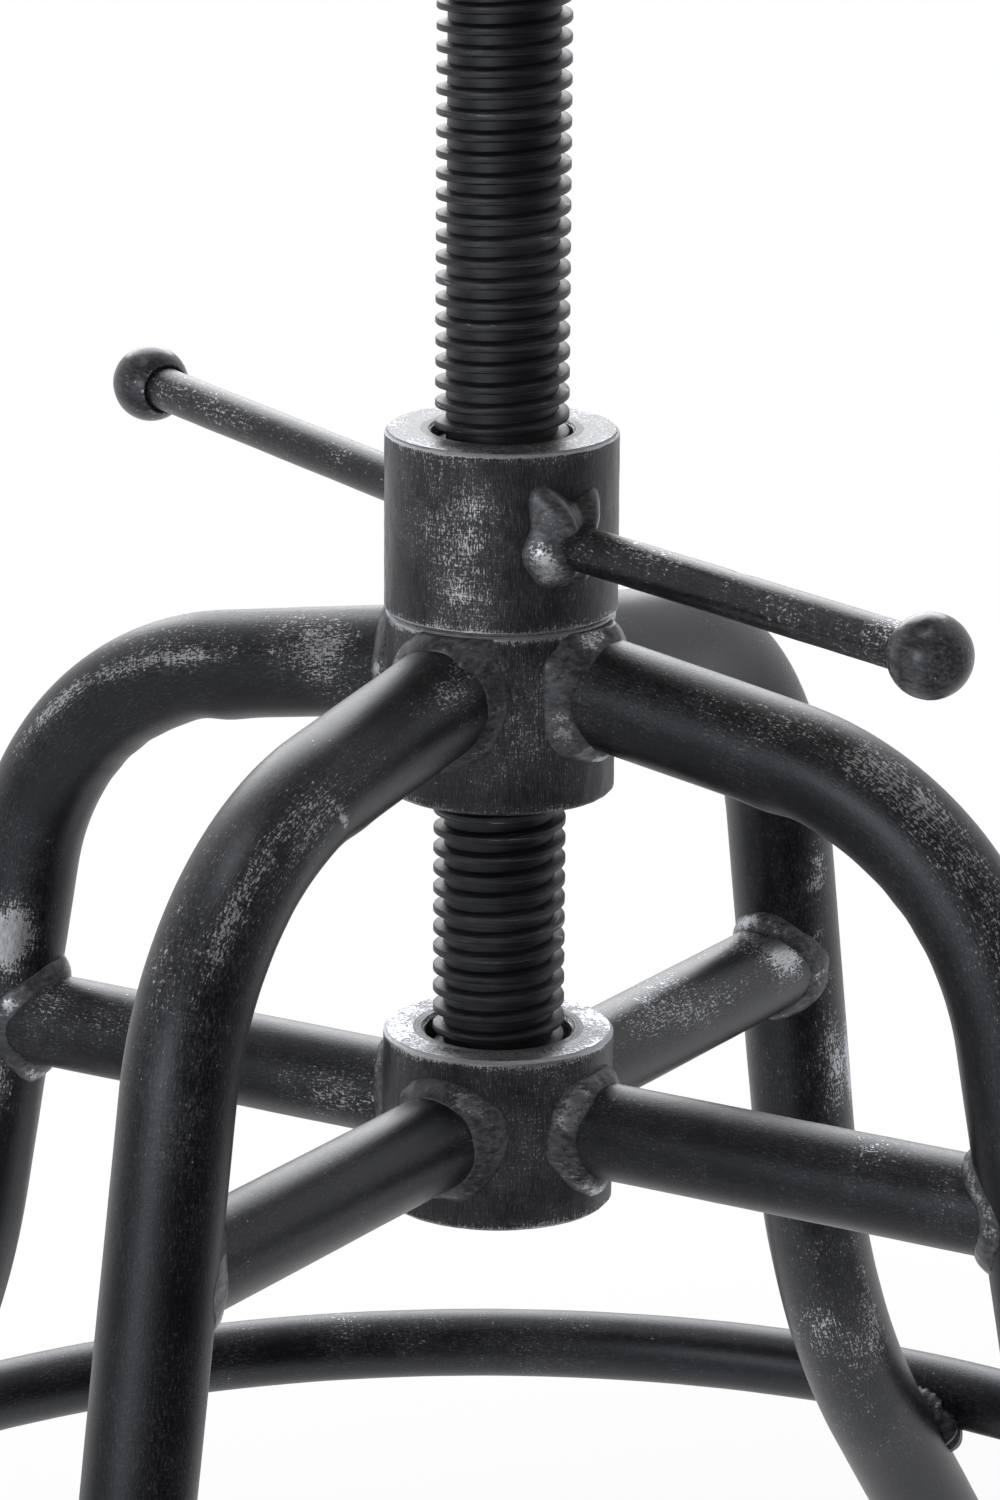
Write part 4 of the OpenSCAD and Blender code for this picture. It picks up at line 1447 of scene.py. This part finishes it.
@dataclass
class BaseWelds:
    """The weld beads of the base."""
    base: Base
    leg_bead: float = 3.7
    brace_bead: float = 3.6
    leg_end_bead: float = 2.7
    ring_bead: tuple[float, float] = (8.3, 11.9)

    def leg_seam(self, leg: int) -> Seam:
        """Give the seam between a leg and the upper hub.

        Args:
            leg: Number of the leg.

        Returns:
            The seam.
        """
        base = self.base
        out, side = base.axes(leg)
        radius, height, _ = base.upper_hub
        origin = radius * out + (base.hub_top - base.entry_drop) * UP
        lobes = {3: (Lobe(38, 15, 3.6), Lobe(120, 40, -0.8)), 4: (Lobe(-62, 42, 3.2), Lobe(-128, 26, 2.0))}
        return Seam(origin, (*tilted(out, base.slopes[0]), side), base.leg_r, radius, self.leg_bead,
                    lobes.get(leg, ()), Seed.LEG_SEAM + leg, (base.hub_top - height + 0.6, base.hub_top - 0.7))

    def brace_hub_seam(self, leg: int) -> Seam:
        """Give the seam between a brace and the lower hub.

        Args:
            leg: Number of the leg.

        Returns:
            The seam.
        """
        base = self.base
        out, side = base.axes(leg)
        radius, height, _ = base.lower_hub
        origin = radius * out + base.brace_height * UP
        lobes = {3: (Lobe(60, 50, 2.0), Lobe(150, 30, 1.2)), 4: (Lobe(-60, 50, 2.0), Lobe(-165, 30, 1.4))}
        top = base.hub_top - base.lower_hub_drop
        return Seam(origin, (out, UP, side), base.brace_r, radius, self.brace_bead,
                    lobes.get(leg, (Lobe(20, 40, 1.0),)), Seed.BRACE_HUB_SEAM + leg,
                    (top - height + 0.6, top - 0.5))

    def brace_leg_seam(self, leg: int) -> Seam:
        """Give the seam between a brace and its leg.

        Args:
            leg: Number of the leg.

        Returns:
            The seam.
        """
        base = self.base
        out, side = base.axes(leg)
        centre = base.brace_end * out + base.brace_height * UP
        lobes = {1: (Lobe(0, 45, 2.2), Lobe(-100, 40, 1.5)), 2: (Lobe(-20, 55, 3.0), Lobe(180, 40, 2.0)),
                 3: (Lobe(120, 50, 1.5),), 4: (Lobe(-30, 60, 1.6), Lobe(-150, 40, 1.6))}
        return Seam(centre, (-out, UP, side), base.brace_r, base.leg_r, self.leg_end_bead, lobes[leg],
                    Seed.BRACE_LEG_SEAM + leg, wall=(centre, tilted(out, base.slopes[1])[0]))

    def add_ring_bead(self, skin: Skin, leg: int) -> None:
        """Add the bead that closes the gap round the place where the foot ring touches a leg.

        Args:
            skin: Mesh that the bead is added to.
            leg: Number of the leg.
        """
        base = self.base
        around = circle(96)
        out, side = base.axes(leg)
        down, away = tilted(out, base.slopes[2])
        ring_r = base.ring_tube_r
        touch = base.ring_radius * out + base.ring_height * UP - (ring_r + base.ring_gap) * away
        wide = 1 + 0.10 * wander(touch + 30 * level(around), 12.0, leg)
        x, y = self.ring_bead[0] * np.cos(around) * wide, self.ring_bead[1] * np.sin(around) * wide
        low = np.sqrt(np.maximum(base.leg_r ** 2 - y ** 2, 0.0)) - base.leg_r
        high = base.ring_gap + ring_r - np.sqrt(np.maximum(ring_r ** 2 - x ** 2, 0.0))
        rises = np.linspace(0, 1, 9)
        sections = [(0.55, -0.1, 0.0), *zip(np.ones(9), rises, np.sin(math.pi * rises)), (0.55, 1.1, 0.0)]
        rings = []
        for share, rise, crown in sections:
            share = share + 0.13 * crown
            height = low - 0.5 + (high - low + 1.0) * rise
            flat = (x * share)[:, None] * down + (y * share)[:, None] * side
            rings.append(touch + flat + height[:, None] * away)
        points = np.stack(rings, 1)
        values = bead_values(points, [section[2] for section in sections])
        worn = 0.10 + 0.45 * values["crown"] * np.clip(wander(points, 9.0, Seed.RING_BEAD), 0, 1)
        skin.sheet(points, loop=True, flow=points + 90.0 * leg, wear=worn, **values)

    def build(self) -> None:
        """Build the base's beads."""
        for name, seam, node, ripples in (("upper_hub_beads", self.leg_seam, "upper_hub_welds", 34.0),
                                          ("lower_hub_beads", self.brace_hub_seam, "lower_hub_welds", 30.0),
                                          ("brace_leg_beads", self.brace_leg_seam, "brace_leg_welds", 28.0)):
            lay_seams(name, [seam(leg) for leg in LEGS], "base", node, ripples)
        skin = Skin("foot_ring_beads")
        for leg in LEGS:
            self.add_ring_bead(skin, leg)
        finish_beads(skin, "base", "foot_ring_welds", Ripples=22.0, Lump_Size=0.0055, Seed=7.0)


@dataclass
class Handle:
    """The T-bar nut: a thick collar with two welded rods and their ball ends."""
    bottom: float = 415.0
    nut_r: float = 28.0
    nut_h: float = 44.0
    rim_chamfer: float = 0.8
    bore: float = 16.05
    mouth: tuple[float, float] = (17.0, 7.0)
    rod_r: float = 5.5
    rod_start: float = 25.5
    rod_height: float = 20.6
    rod_tilt: float = 1.2
    rod_azimuth: float = -68.6
    rod_spread: float = 178.4
    ball_reach: float = 163.0
    ball_r: float = 9.75
    ball_flat: float = 6.35
    rod_bead: float = 3.6
    nut_patches: tuple[Patch, ...] = rubbed(
        (25, 236, 22, 18, 0.24), (22, 243, 16, 12, 0.14), (31.3, 248, 0.5, 20, 0.10),
        (9.6, 246, 0.6, 22, 0.14), (13.4, 250, 0.4, 12, 0.10), (34, 222, 10, 16, 0.10),
        (22, 270, 20, 10, -0.15), (22, 60, 16, 24, 0.3))
    rod_patches: dict[int, tuple[Patch, ...]] = field(default_factory=lambda: {
        1: rubbed((60, 330, 26, 60, 0.34), (110, 300, 24, 50, 0.2), (150, 90, 8, 400, 0.3)),
        2: rubbed((90, 60, 50, 60, 0.26), (140, 60, 20, 60, 0.30))})

    def rod_axes(self, rod: int) -> Axes:
        """Give a rod's direction, its upper side and its sideways direction.

        Args:
            rod: Number of the rod, from 1.

        Returns:
            Three directions.
        """
        azimuth = math.radians(self.rod_azimuth + self.rod_spread * (rod - 1))
        return *tilted(level(azimuth), -self.rod_tilt), level(azimuth + math.pi / 2)

    @property
    def origin(self) -> np.ndarray:
        """The point where the rods' axes meet the spindle's axis."""
        return (self.bottom + self.rod_height) * UP

    @property
    def ball_centre(self) -> float:
        """Distance of a ball's centre along its rod."""
        return self.ball_reach / math.cos(math.radians(self.rod_tilt))

    def build_nut(self) -> None:
        """Build the collar with its counterbored mouth and worn rims."""
        c, r, bore, low = self.rim_chamfer, self.nut_r, self.bore, self.bottom
        top = low + self.nut_h
        mouth, depth = self.mouth
        rows = [(bore + c, low, 0.2), (r - c, low, 0.35), (r, low + c, 0.9), (r, low + c + 0.4, 0.35),
                (r, low + 3, 0.08), (r, top - 4, 0.05), (r, top - c - 0.4, 0.3), (r, top - c, 0.8),
                (r - c, top, 0.4, True), (mouth + 0.6, top, 0.24, True), (mouth, top - 0.6, 0.7),
                (mouth, top - depth, 0.0), (bore, top - depth, 0.0), (bore, low + c, 0.0)]
        patches = [replace(patch, along=low + patch.along) for patch in self.nut_patches]
        piece = turn("adjuster_nut_collar", rows, 2.2, sides=160, ragged=0.16, seed=Seed.NUT, patches=patches)
        finish_piece(piece, HUB_STEEL, "t_bar_nut", "adjuster_nut")

    def build_rod(self, rod: int) -> None:
        """Build one rod. The first one has a nick.

        Args:
            rod: Number of the rod.
        """
        heading, normal, side = self.rod_axes(rod)
        along, sides = np.linspace(self.rod_start, self.ball_centre - 5, 60), 40
        centres = self.origin + along[:, None] * heading
        nick = 0.35 * bell(along - 92, 2.2)[:, None] * bell(np.degrees(circle(sides)) - 30, 20) * (rod == 1)
        radius = self.rod_r - 0.05 * sunk(centres, sides, 9, 30.0, Seed.ROD + rod) - nick
        piece = tube(f"handle_rod_{rod}_bar", centres, normal, side, radius, along, self.rod_patches[rod])
        finish_piece(piece, ROD_PAINT, "t_bar_nut", f"handle_rod_{rod}")

    def build_ball(self, rod: int) -> None:
        """Build one ball end, turned flat where its rod enters it.

        Args:
            rod: Number of the rod.
        """
        heading, normal, side = self.rod_axes(rod)
        place = np.eye(4)
        place[:3, :] = np.stack([normal, side, heading, self.origin + self.ball_centre * heading], 1)
        start = math.degrees(math.asin(self.ball_flat / self.ball_r))
        flat_height = -math.cos(math.radians(start)) * self.ball_r
        rows = [(0.05, -6.4), (5.6, -6.4, 0.1), (5.95, -6.6, 0.3), (6.15, flat_height + 0.15, 0.45)]
        turned = np.linspace(start + 1.5, 179.6, 56)
        wear = 0.12 * bell(turned - 70, 25) + 0.30 * bell(turned - start, 5)
        rows += zip(self.ball_r * np.sin(np.radians(turned)), -self.ball_r * np.cos(np.radians(turned)), wear)
        piece = turn(f"handle_ball_{rod}_end", rows, place=place, loop=False, ragged=0.06,
                     seed=Seed.BALL + rod, sharp=40)
        finish_piece(piece, BALL_STEEL, "t_bar_nut", f"handle_ball_{rod}")

    def rod_seam(self, rod: int) -> Seam:
        """Give the seam between a rod and the collar.

        Args:
            rod: Number of the rod.

        Returns:
            The seam.
        """
        lobes = {1: (Lobe(-32, 26, 7.0), Lobe(34, 24, 6.6), Lobe(-115, 50, 2.6)), 2: (Lobe(10, 60, 2.0),)}
        return Seam(self.origin, self.rod_axes(rod), self.rod_r, self.nut_r, self.rod_bead, lobes[rod],
                    Seed.ROD_SEAM + rod)

    def build(self) -> None:
        """Build the T-bar nut with its beads."""
        self.build_nut()
        for rod in RODS:
            self.build_rod(rod)
            self.build_ball(rod)
        lay_seams("handle_beads", [self.rod_seam(rod) for rod in RODS], "t_bar_nut", "handle_welds", 20.0)


def thread_tool() -> GeometryTool:
    """Make the tool that winds a screw thread round a core.

    Returns:
        The tool. It sweeps a trapezium along a right-hand spiral and tapers the thread's two ends.
    """
    tool = GeometryTool("screw_thread", {
        "Root Radius": 0.0134, "Depth": 0.0026, "Pitch": 0.005, "Turns": 10.0, "Start": 0.0,
        "Crest Width": 0.0016, "Root Width": 0.0030, "Roughness": 0.0003, "Seed": 1.0})
    w, given = tool.wiring, tool.given
    root_r, depth, pitch, start = (given[key] for key in ("Root Radius", "Depth", "Pitch", "Start"))
    sunk_in, taper = 0.0002, pitch * 0.35
    inner, outer, length, height = root_r - sunk_in, root_r + depth, given["Turns"] * pitch, depth + sunk_in
    spiral = w.node("GeometryNodeCurveSpiral", {
        "Resolution": 60, "Rotations": given["Turns"], "Start Radius": inner, "End Radius": inner,
        "Height": length, "Reverse": True})[0]
    spiral = w.moved(spiral, Translation=w.together(0.0, 0.0, start))
    spiral = w.node("GeometryNodeSetCurveNormal", {"Curve": spiral}, mode="Z_UP")[0]
    profile = w.node("GeometryNodeCurvePrimitiveQuadrilateral", {
        "Bottom Width": given["Root Width"], "Top Width": given["Crest Width"], "Offset": 0.0,
        "Height": height}, mode="TRAPEZOID")[0]
    profile = w.moved(profile, Translation=w.together(0.0, height * 0.5, 0.0))
    profile = w.moved(profile, Rotation=(0.0, 0.0, -math.pi / 2))
    rounding = {"Curve": profile, "Radius": 0.00022, "Count": 1}
    profile = w.node("GeometryNodeFilletCurve", rounding, mode="POLY")[0]
    swept = {"Curve": spiral, "Profile Curve": profile, "Fill Caps": True}
    ridge = w.node("GeometryNodeCurveToMesh", swept)[0]
    place = w.node("GeometryNodeInputPosition")[0]
    x, y, z = w.apart(place)
    far = w.from_axis(x, y)
    shifted = place * (520.0, 520.0, 520.0) + w.together(given["Seed"], 0.0, 0.0)
    dents = w.math("MINIMUM", w.noise(shifted, 1.0, 3.0, 0.6) - 0.62, 0.0)
    rough = dents * given["Roughness"] + far
    room = w.math("MINIMUM", z - (start + taper), (start + length) - (taper + z))
    limit = w.math("MINIMUM", outer, root_r + w.math("MAXIMUM", room, -sunk_in))
    factor = w.math("MINIMUM", rough, limit) / far
    moved = w.node("GeometryNodeSetPosition", {
        "Geometry": ridge, "Position": place * w.together(factor, factor, 1.0)})[0]
    worn = {"Geometry": moved, "Name": "wear", "Value": w.step(far, outer - 0.0007, outer) * 0.28}
    return tool.end(w.node("GeometryNodeStoreNamedAttribute", worn, data_type="FLOAT", domain="POINT")[0])


@dataclass
class Spindle:
    """The screw spindle: a core, its thread, and the journal that the seat swivels on."""
    bottom: float = 275.0
    thread_top: float = 688.0
    root_r: float = 13.4
    depth: float = 2.6
    pitch: float = 5.0
    crest: float = 1.6
    flank: float = 15.5
    run_out: float = 3.0
    head: tuple[float, float] = (694.0, 706.0)
    journal_r: float = 12.0
    top: float = 772.3
    washer: Vec = (20.0, 12.1, 2.0)
    washer_chamfer: float = 0.3

    def build_core(self) -> bpy.types.Object:
        """Build the core with the groove, the head and the journal.

        Returns:
            The core.
        """
        root_r, outer, journal_r = self.root_r, self.root_r + self.depth, self.journal_r
        bottom, groove, top, (low, high) = self.bottom, self.thread_top, self.top, self.head
        return turn("spindle_screw", [
            (0.05, bottom, 0.3), (root_r - 2.2, bottom, 0.3), (root_r, bottom + 2.2, 0.2),
            (root_r, groove, -0.1), (outer - 3, groove + 1), (outer - 3, low), (outer - 0.4, low, 0.3),
            (outer, low + 0.4, 0.3), (outer, high - 1, 0.3), (outer - 1, high, 0.3), (journal_r, high),
            (journal_r, top - 1, 0.2), (journal_r - 1, top, 0.3), (0.05, top, 0.3)], 6.0, loop=False)

    def build_thread(self) -> bpy.types.Object:
        """Wind the thread.

        Returns:
            The thread.
        """
        turns = (self.thread_top - self.bottom - 2 * self.run_out) / self.pitch
        root = self.crest + 2 * self.depth * math.tan(math.radians(self.flank))
        thread = thread_tool().apply(
            blank("thread"), Root_Radius=self.root_r * MM, Depth=self.depth * MM, Pitch=self.pitch * MM,
            Turns=turns, Start=(self.bottom + self.run_out) * MM, Crest_Width=self.crest * MM,
            Root_Width=root * MM, Material=SPINDLE_STEEL.material())
        thread.data.set_sharp_from_angle(angle=math.radians(40))
        return thread

    def build(self) -> None:
        """Build the spindle and the thrust washer on its head, and finish what holds the seat down."""
        parts = [self.build_core(), self.build_thread()]
        with bpy.context.temp_override(active_object=parts[0], object=parts[0], selected_objects=parts,
                                       selected_editable_objects=parts):
            bpy.ops.object.join()
        finish_piece(parts[0], SPINDLE_STEEL, "spindle", "spindle")
        radius, bore, height = self.washer
        low, c = self.head[1], self.washer_chamfer
        high = low + height
        rows = [(bore, low), (radius - c, low), (radius, low + c), (radius, high - c), (radius - c, high),
                (bore, high)]
        finish_piece(turn("thrust_washer_ring", rows, 1.0), NYLON, "spindle", "thrust_washer")
        finish_node("retaining_washer", ZINC)
        finish_node("retaining_screw", ZINC)


def screw_tool(screw: bpy.types.Object) -> GeometryTool:
    """Make the tool that sets screws evenly on a circle.

    Args:
        screw: One screw, at the origin.

    Returns:
        The tool.
    """
    tool = GeometryTool("seat_screws", {"Circle Radius": 0.068, "Height": 0.768, "Screws": 4, "First": 0.0})
    w, given = tool.wiring, tool.given
    spots = {"Vertices": given["Screws"], "Radius": given["Circle Radius"]}
    placed = w.moved(w.node("GeometryNodeMeshCircle", spots)[0], Rotation=w.together(0.0, 0.0, given["First"]),
                     Translation=w.together(0.0, 0.0, given["Height"]))
    one = w.node("GeometryNodeObjectInfo", {"Object": screw})["Geometry"]
    turned = w.node("FunctionNodeRandomValue", {2: 0.0, 3: 6.28, "Seed": 5}, data_type="FLOAT")[1]
    values = {"Points": placed, "Instance": one, "Rotation": w.together(0.0, 0.0, turned)}
    return tool.end(w.node("GeometryNodeInstanceOnPoints", values)[0])


@dataclass
class Seat:
    """The saddle seat with its plate, socket and screws.

    Its sizes are the CAD's. "sanded" is the share of the CAD's width and depth that sanding left.
    """
    bottom: float = 772.0
    width: float = 400.0
    depth: float = 350.0
    thickness: float = 48.0
    scoop_depth: float = 17.0
    dish_depth: float = 6.0
    front_drop: float = 10.0
    edge_round: float = 8.0
    undercut_run: float = 34.0
    undercut_share: float = 0.8
    pommel_reach: float = 24.0
    thigh_relief: float = 10.0
    squareness: float = 2.6
    sanded: float = 0.9995
    plate: tuple[float, float] = (85.0, 4.0)
    plate_chamfer: float = 0.8
    socket: Vec = (23.0, 60.0, 12.05)
    bead: float = 4.0
    screw_circle: float = 68.0
    screw_r: float = 3.0
    screw_length: float = 22.0

    def outline(self, angle: np.ndarray) -> np.ndarray:
        """Give the seat's outline: a rounded square with a pommel between two thigh reliefs.

        Args:
            angle: Angles round the seat's centre.

        Returns:
            A point for each angle.
        """
        p, cosine, sine = self.squareness, np.cos(angle), np.sin(angle)
        radius = (np.abs(2 * cosine / self.width) ** p + np.abs(2 * sine / self.depth) ** p) ** (-1 / p)
        x, y = radius * cosine, radius * sine
        u, v = 2 * x / self.width, 2 * y / self.depth
        front = self.pommel_reach * bump(u, 0.6) - self.thigh_relief * bump(np.abs(u) - 0.62, 0.5)
        return np.stack([x * (1 - 0.1 * fade(0.1, -1, v)), y - fade(0, -1, v) * front], -1)

    def height(self, points: np.ndarray) -> np.ndarray:
        """Give the height of the seat's top above its underside.

        Args:
            points: Places seen from above.

        Returns:
            The height at each place.
        """
        u = np.hypot(2 * points[..., 0] / self.width, 0.07)
        v = 2 * points[..., 1] / self.depth
        middle = 0.24 + 0.26 * fade(0.7, -0.9, v)
        share = fade(0.95, 0.3, v) * (1 - 0.45 * fade(0, -1, v))
        return (self.thickness - self.scoop_depth * share * bump(u - middle, 0.5)
                - self.dish_depth * bump(u, 0.95) * bump(v - 0.15, 0.85)
                - self.front_drop * fade(0, -1.1, v) * (1 - 0.55 * bump(u, 0.35)))

    def build_saddle(self) -> None:
        """Build the carved wooden seat: its top, then its rounded edge, then its undercut."""
        sides, rings, steps = 288, 56, 12
        outline = self.outline(circle(sides))
        reach = np.linalg.norm(outline, axis=-1)
        edge, run = self.edge_round, self.undercut_run
        rows = []
        for share in np.arange(1, rings + 1) / rings:
            flat = outline * (share * (1 - edge / reach))[:, None]
            rows.append(np.column_stack([flat, self.height(flat)]))
        rim = rows[-1][:, 2]
        quarter = np.arange(1, steps + 1) * math.pi / 2 / steps
        turns = list(zip(1 - np.sin(quarter), 1 - np.cos(quarter)))
        sloping = [(edge * s, rim - edge * c) for s, c in turns]
        sloping += [(run * c, (rim - edge) * self.undercut_share * s) for s, c in turns]
        rows += [np.column_stack([outline * (1 - inward / reach)[:, None], z]) for inward, z in sloping]
        points = np.stack(rows) + self.bottom * UP
        points[:, :, :2] *= self.sanded
        # These values make the wood darker: not on the top, more on the rounded edge, most on the undercut.
        wear = np.repeat([0.0, 0.25, 0.5], [rings, steps, steps])
        skin = Skin("saddle_seat_wood")
        skin.sheet(points, wear=np.broadcast_to(wear[:, None], points.shape[:2]), flow=points)
        finish_piece(skin.build(50), WOOD, "seat", "saddle_seat")

    def build_socket(self) -> None:
        """Build the turned socket, its round plate and the bead between them."""
        radius, length, bore = self.socket
        plate_r, plate_t = self.plate
        c, high = self.plate_chamfer, self.bottom
        top = high - plate_t
        low = top - length
        rows = [(bore, low + 1, 0.1), (bore + 1, low, 0.3), (radius - 2, low, 0.4), (radius, low + 2, 0.45),
                (radius, low + 5, 0.02), (radius, top, 0.02), (bore, top)]
        socket = turn("seat_socket_sleeve", rows, 3.0, sides=128, ragged=0.1, seed=Seed.SOCKET)
        finish_piece(socket, HUB_STEEL, "seat", "seat_socket")
        rows = [(bore, top), (plate_r - c, top, 0.2), (plate_r, top + c, 0.4), (plate_r, high - 0.2, 0.3),
                (plate_r - 0.2, high, 0.2), (bore, high)]
        plate = turn("seat_plate_disc", rows, 4.0, sides=192)
        finish_piece(plate, TUBE_PAINT, "seat", "seat_plate")
        outward = level(circle(200))
        size = self.bead * (0.95 + 0.06 * wander(outward * radius, 12.0, Seed.SOCKET_BEAD))[:, None, None]
        section = np.array([(-0.4, 0.1, 0), (-0.2, -1.0, 0), (0.05, -0.98, 0.3), (0.40, -0.80, 0.8),
                            (0.68, -0.56, 1), (0.86, -0.28, 0.8), (0.97, -0.02, 0.3), (0.98, 0.1, 0)])
        across, rise, crowns = section.T
        points = (radius + size * across[:, None]) * outward[:, None, :] + (top + size * rise[:, None]) * UP
        values = bead_values(points, crowns)
        skin = Skin("seat_socket_bead")
        skin.sheet(points, loop=True, flow=points, wear=0.15 + 0.3 * values["crown"], **values)
        finish_beads(skin, "seat", "seat_socket_weld", Ripples=48.0, Ripple_Height=0.0002, Lump_Height=0.0007,
                     Lump_Size=0.004, Seed=3.0)

    def build_screws(self) -> None:
        """Build the seat screws: one domed screw, set four times on its circle."""
        r, head_r, head_h, length = self.screw_r, 2 * self.screw_r, 1.2 * self.screw_r, self.screw_length
        key = 0.55 * r
        rows = [(0.05, -0.4 * head_h), (key, -0.4 * head_h), (key, -head_h + 0.15)]
        for a in np.radians(range(18, 90, 8)):
            rows.append((head_r * math.sin(a), -head_h / 3 - head_h * 2 / 3 * math.cos(a)))
        rows += [(head_r, -head_h / 3), (head_r, -0.15), (head_r - 0.2, 0.0), (r, 0.0), (r, length - 2),
                 (r / 2, length), (0.05, length)]
        screw = turn("seat_screw", rows, sides=48, loop=False, sharp=30)
        piece = screw_tool(screw).apply(
            blank("seat_screw_heads"), Circle_Radius=self.screw_circle * MM,
            Height=(self.bottom - self.plate[1]) * MM, First=math.pi / 4, Material=ZINC.material())
        bpy.data.objects.remove(screw)
        finish_piece(piece, ZINC, "seat", "seat_screws")

    def build(self) -> None:
        """Build the whole seat."""
        self.build_saddle()
        self.build_socket()
        self.build_screws()


def facing(right: np.ndarray, back: np.ndarray, place: Vec) -> Matrix:
    """Give the matrix of a camera or a lamp.

    Args:
        right: Direction of its right side.
        back: Direction of its back.
        place: Where it stands.

    Returns:
        The matrix.
    """
    rows = np.eye(4)
    rows[:3, :] = np.stack([right, np.cross(back, right), back, place], 1)
    return Matrix(rows.tolist())


@dataclass
class Studio:
    """The pale floor, the soft light and the camera."""
    camera_at: Vec = (-0.3777, -1.5284, 0.82103)
    level_heading: tuple[float, float] = (0.2399, 0.9708)
    pitch: float = 15.66
    roll: float = 0.38
    lens: float = 163.3
    floor_half: float = 9.0
    floor_shade: float = 0.82
    room_light: float = 0.42

    def place_camera(self) -> None:
        """Put the camera where the photograph was taken from."""
        pitch, roll = math.radians(self.pitch), math.radians(self.roll)
        east, north = self.level_heading
        ahead = unit(np.array([east * math.cos(pitch), north * math.cos(pitch), -math.sin(pitch)]))
        right = unit(np.array([north, -east, 0.0]))
        up = np.cross(right, ahead)
        data = bpy.data.cameras.new("camera")
        data.lens, data.sensor_width, data.sensor_fit = self.lens, 36.0, "AUTO"
        data.clip_start, data.clip_end = 0.05, 60.0
        camera = add_object("camera", data)
        camera.matrix_world = facing(right * math.cos(roll) + up * math.sin(roll), -ahead, self.camera_at)
        bpy.context.scene.camera = camera

    def seen(self, w: Wiring) -> Value:
        """Tell whether a ray comes from the camera, from gloss or through glass.

        Args:
            w: Wiring of the floor's or the room's nodes.

        Returns:
            1 if it does, and 0 otherwise.
        """
        rays = w.node("ShaderNodeLightPath")
        first = w.math("MAXIMUM", rays["Is Camera Ray"], rays["Is Glossy Ray"])
        return w.math("MAXIMUM", first, rays["Is Transmission Ray"])

    def mirrored(self, w: Wiring, place: Value) -> Value:
        """Tell how bright the room is that gloss shows: pale behind the stool and dim in front of it.

        Args:
            w: Wiring of the floor's or the room's nodes.
            place: A place, or a direction, seen from the origin.

        Returns:
            The brightness.
        """
        way = w.node("ShaderNodeVectorMath", {0: place}, operation="NORMALIZE")["Vector"]
        east, north, _ = w.apart(way)
        ahead = east * self.level_heading[0] + north * self.level_heading[1]
        side = east * -0.77 + north * -0.64
        return w.step(side, 0.7, 1.0) * 0.8 + w.blend(w.step(ahead, -0.5, 0.6), 0.05, 1.0)

    def lay_floor(self) -> None:
        """Lay the pale floor. It looks white and keeps the stool's shadow."""
        mesh, half = bpy.data.meshes.new("floor"), self.floor_half
        corners = [(-half, -half, 0), (half, -half, 0), (half, half, 0), (-half, half, 0)]
        mesh.from_pydata(corners, [], [(0, 1, 2, 3)])
        floor = add_object("floor", mesh)
        material = bpy.data.materials.new("floor")
        w = emptied(material)
        pale = w.node("ShaderNodeBsdfDiffuse", {"Color": (*[self.floor_shade] * 3, 1.0)})[0]
        place, gloss = w.place(), w.node("ShaderNodeLightPath")["Is Glossy Ray"]
        glow = w.blend(gloss, 1.0, self.mirrored(w, place))
        white = w.node("ShaderNodeEmission", {"Color": (1.0, 1.0, 1.0, 1.0), "Strength": glow})[0]
        share = self.seen(w) * w.blend(w.step(w.length(place), 0.3, 1.9), 0.72, 1.0)
        both = w.node("ShaderNodeMixShader", {0: w.math("MAXIMUM", share, gloss), 1: pale, 2: white})[0]
        w.node("ShaderNodeOutputMaterial").feed(Surface=both)
        mesh.materials.append(material)

    def light(self) -> None:
        """Light the stool with a pale room, large soft lamps above and behind, and a fill from the left."""
        world = bpy.data.worlds.new("room")
        w = emptied(world)
        gloss = w.node("ShaderNodeLightPath")["Is Glossy Ray"]
        bright = w.blend(gloss, 1.0, self.mirrored(w, w.node("ShaderNodeTexCoord")["Generated"]))
        pale = {"Color": (1.0, 1.0, 1.0, 1.0), "Strength": w.blend(self.seen(w), self.room_light, bright)}
        w.node("ShaderNodeOutputWorld").feed(Surface=w.node("ShaderNodeBackground", pale)[0])
        bpy.context.scene.world = world
        for name, place, aim, size, power in (("above", (-0.4, -0.2, 2.4), 0.4, 1.0, 16.0),
                                              ("behind", (0.3, 2.2, 1.7), 0.35, 2.4, 56.0),
                                              ("left", (-1.55, -1.3, 0.75), 0.35, 0.7, 6.5)):
            lamp = bpy.data.lights.new(name, "AREA")
            lamp.shape, lamp.size, lamp.energy = "DISK", size, power
            back = unit(np.array(place) - aim * UP)
            add_object(name, lamp).matrix_world = facing(unit(np.cross(UP, back)), back, place)

    def build(self) -> None:
        """Set up the studio."""
        bpy.context.scene.view_settings.view_transform = "Standard"
        self.place_camera()
        self.lay_floor()
        self.light()


def main() -> None:
    """Build the stool piece by piece."""
    logging.basicConfig(level=logging.INFO, format="%(name)s: %(message)s")
    Studio().build()
    base = Base()
    base.build()
    BaseWelds(base).build()
    Handle().build()
    Spindle().build()
    Seat().build()


if __name__ == "__main__":
    main()
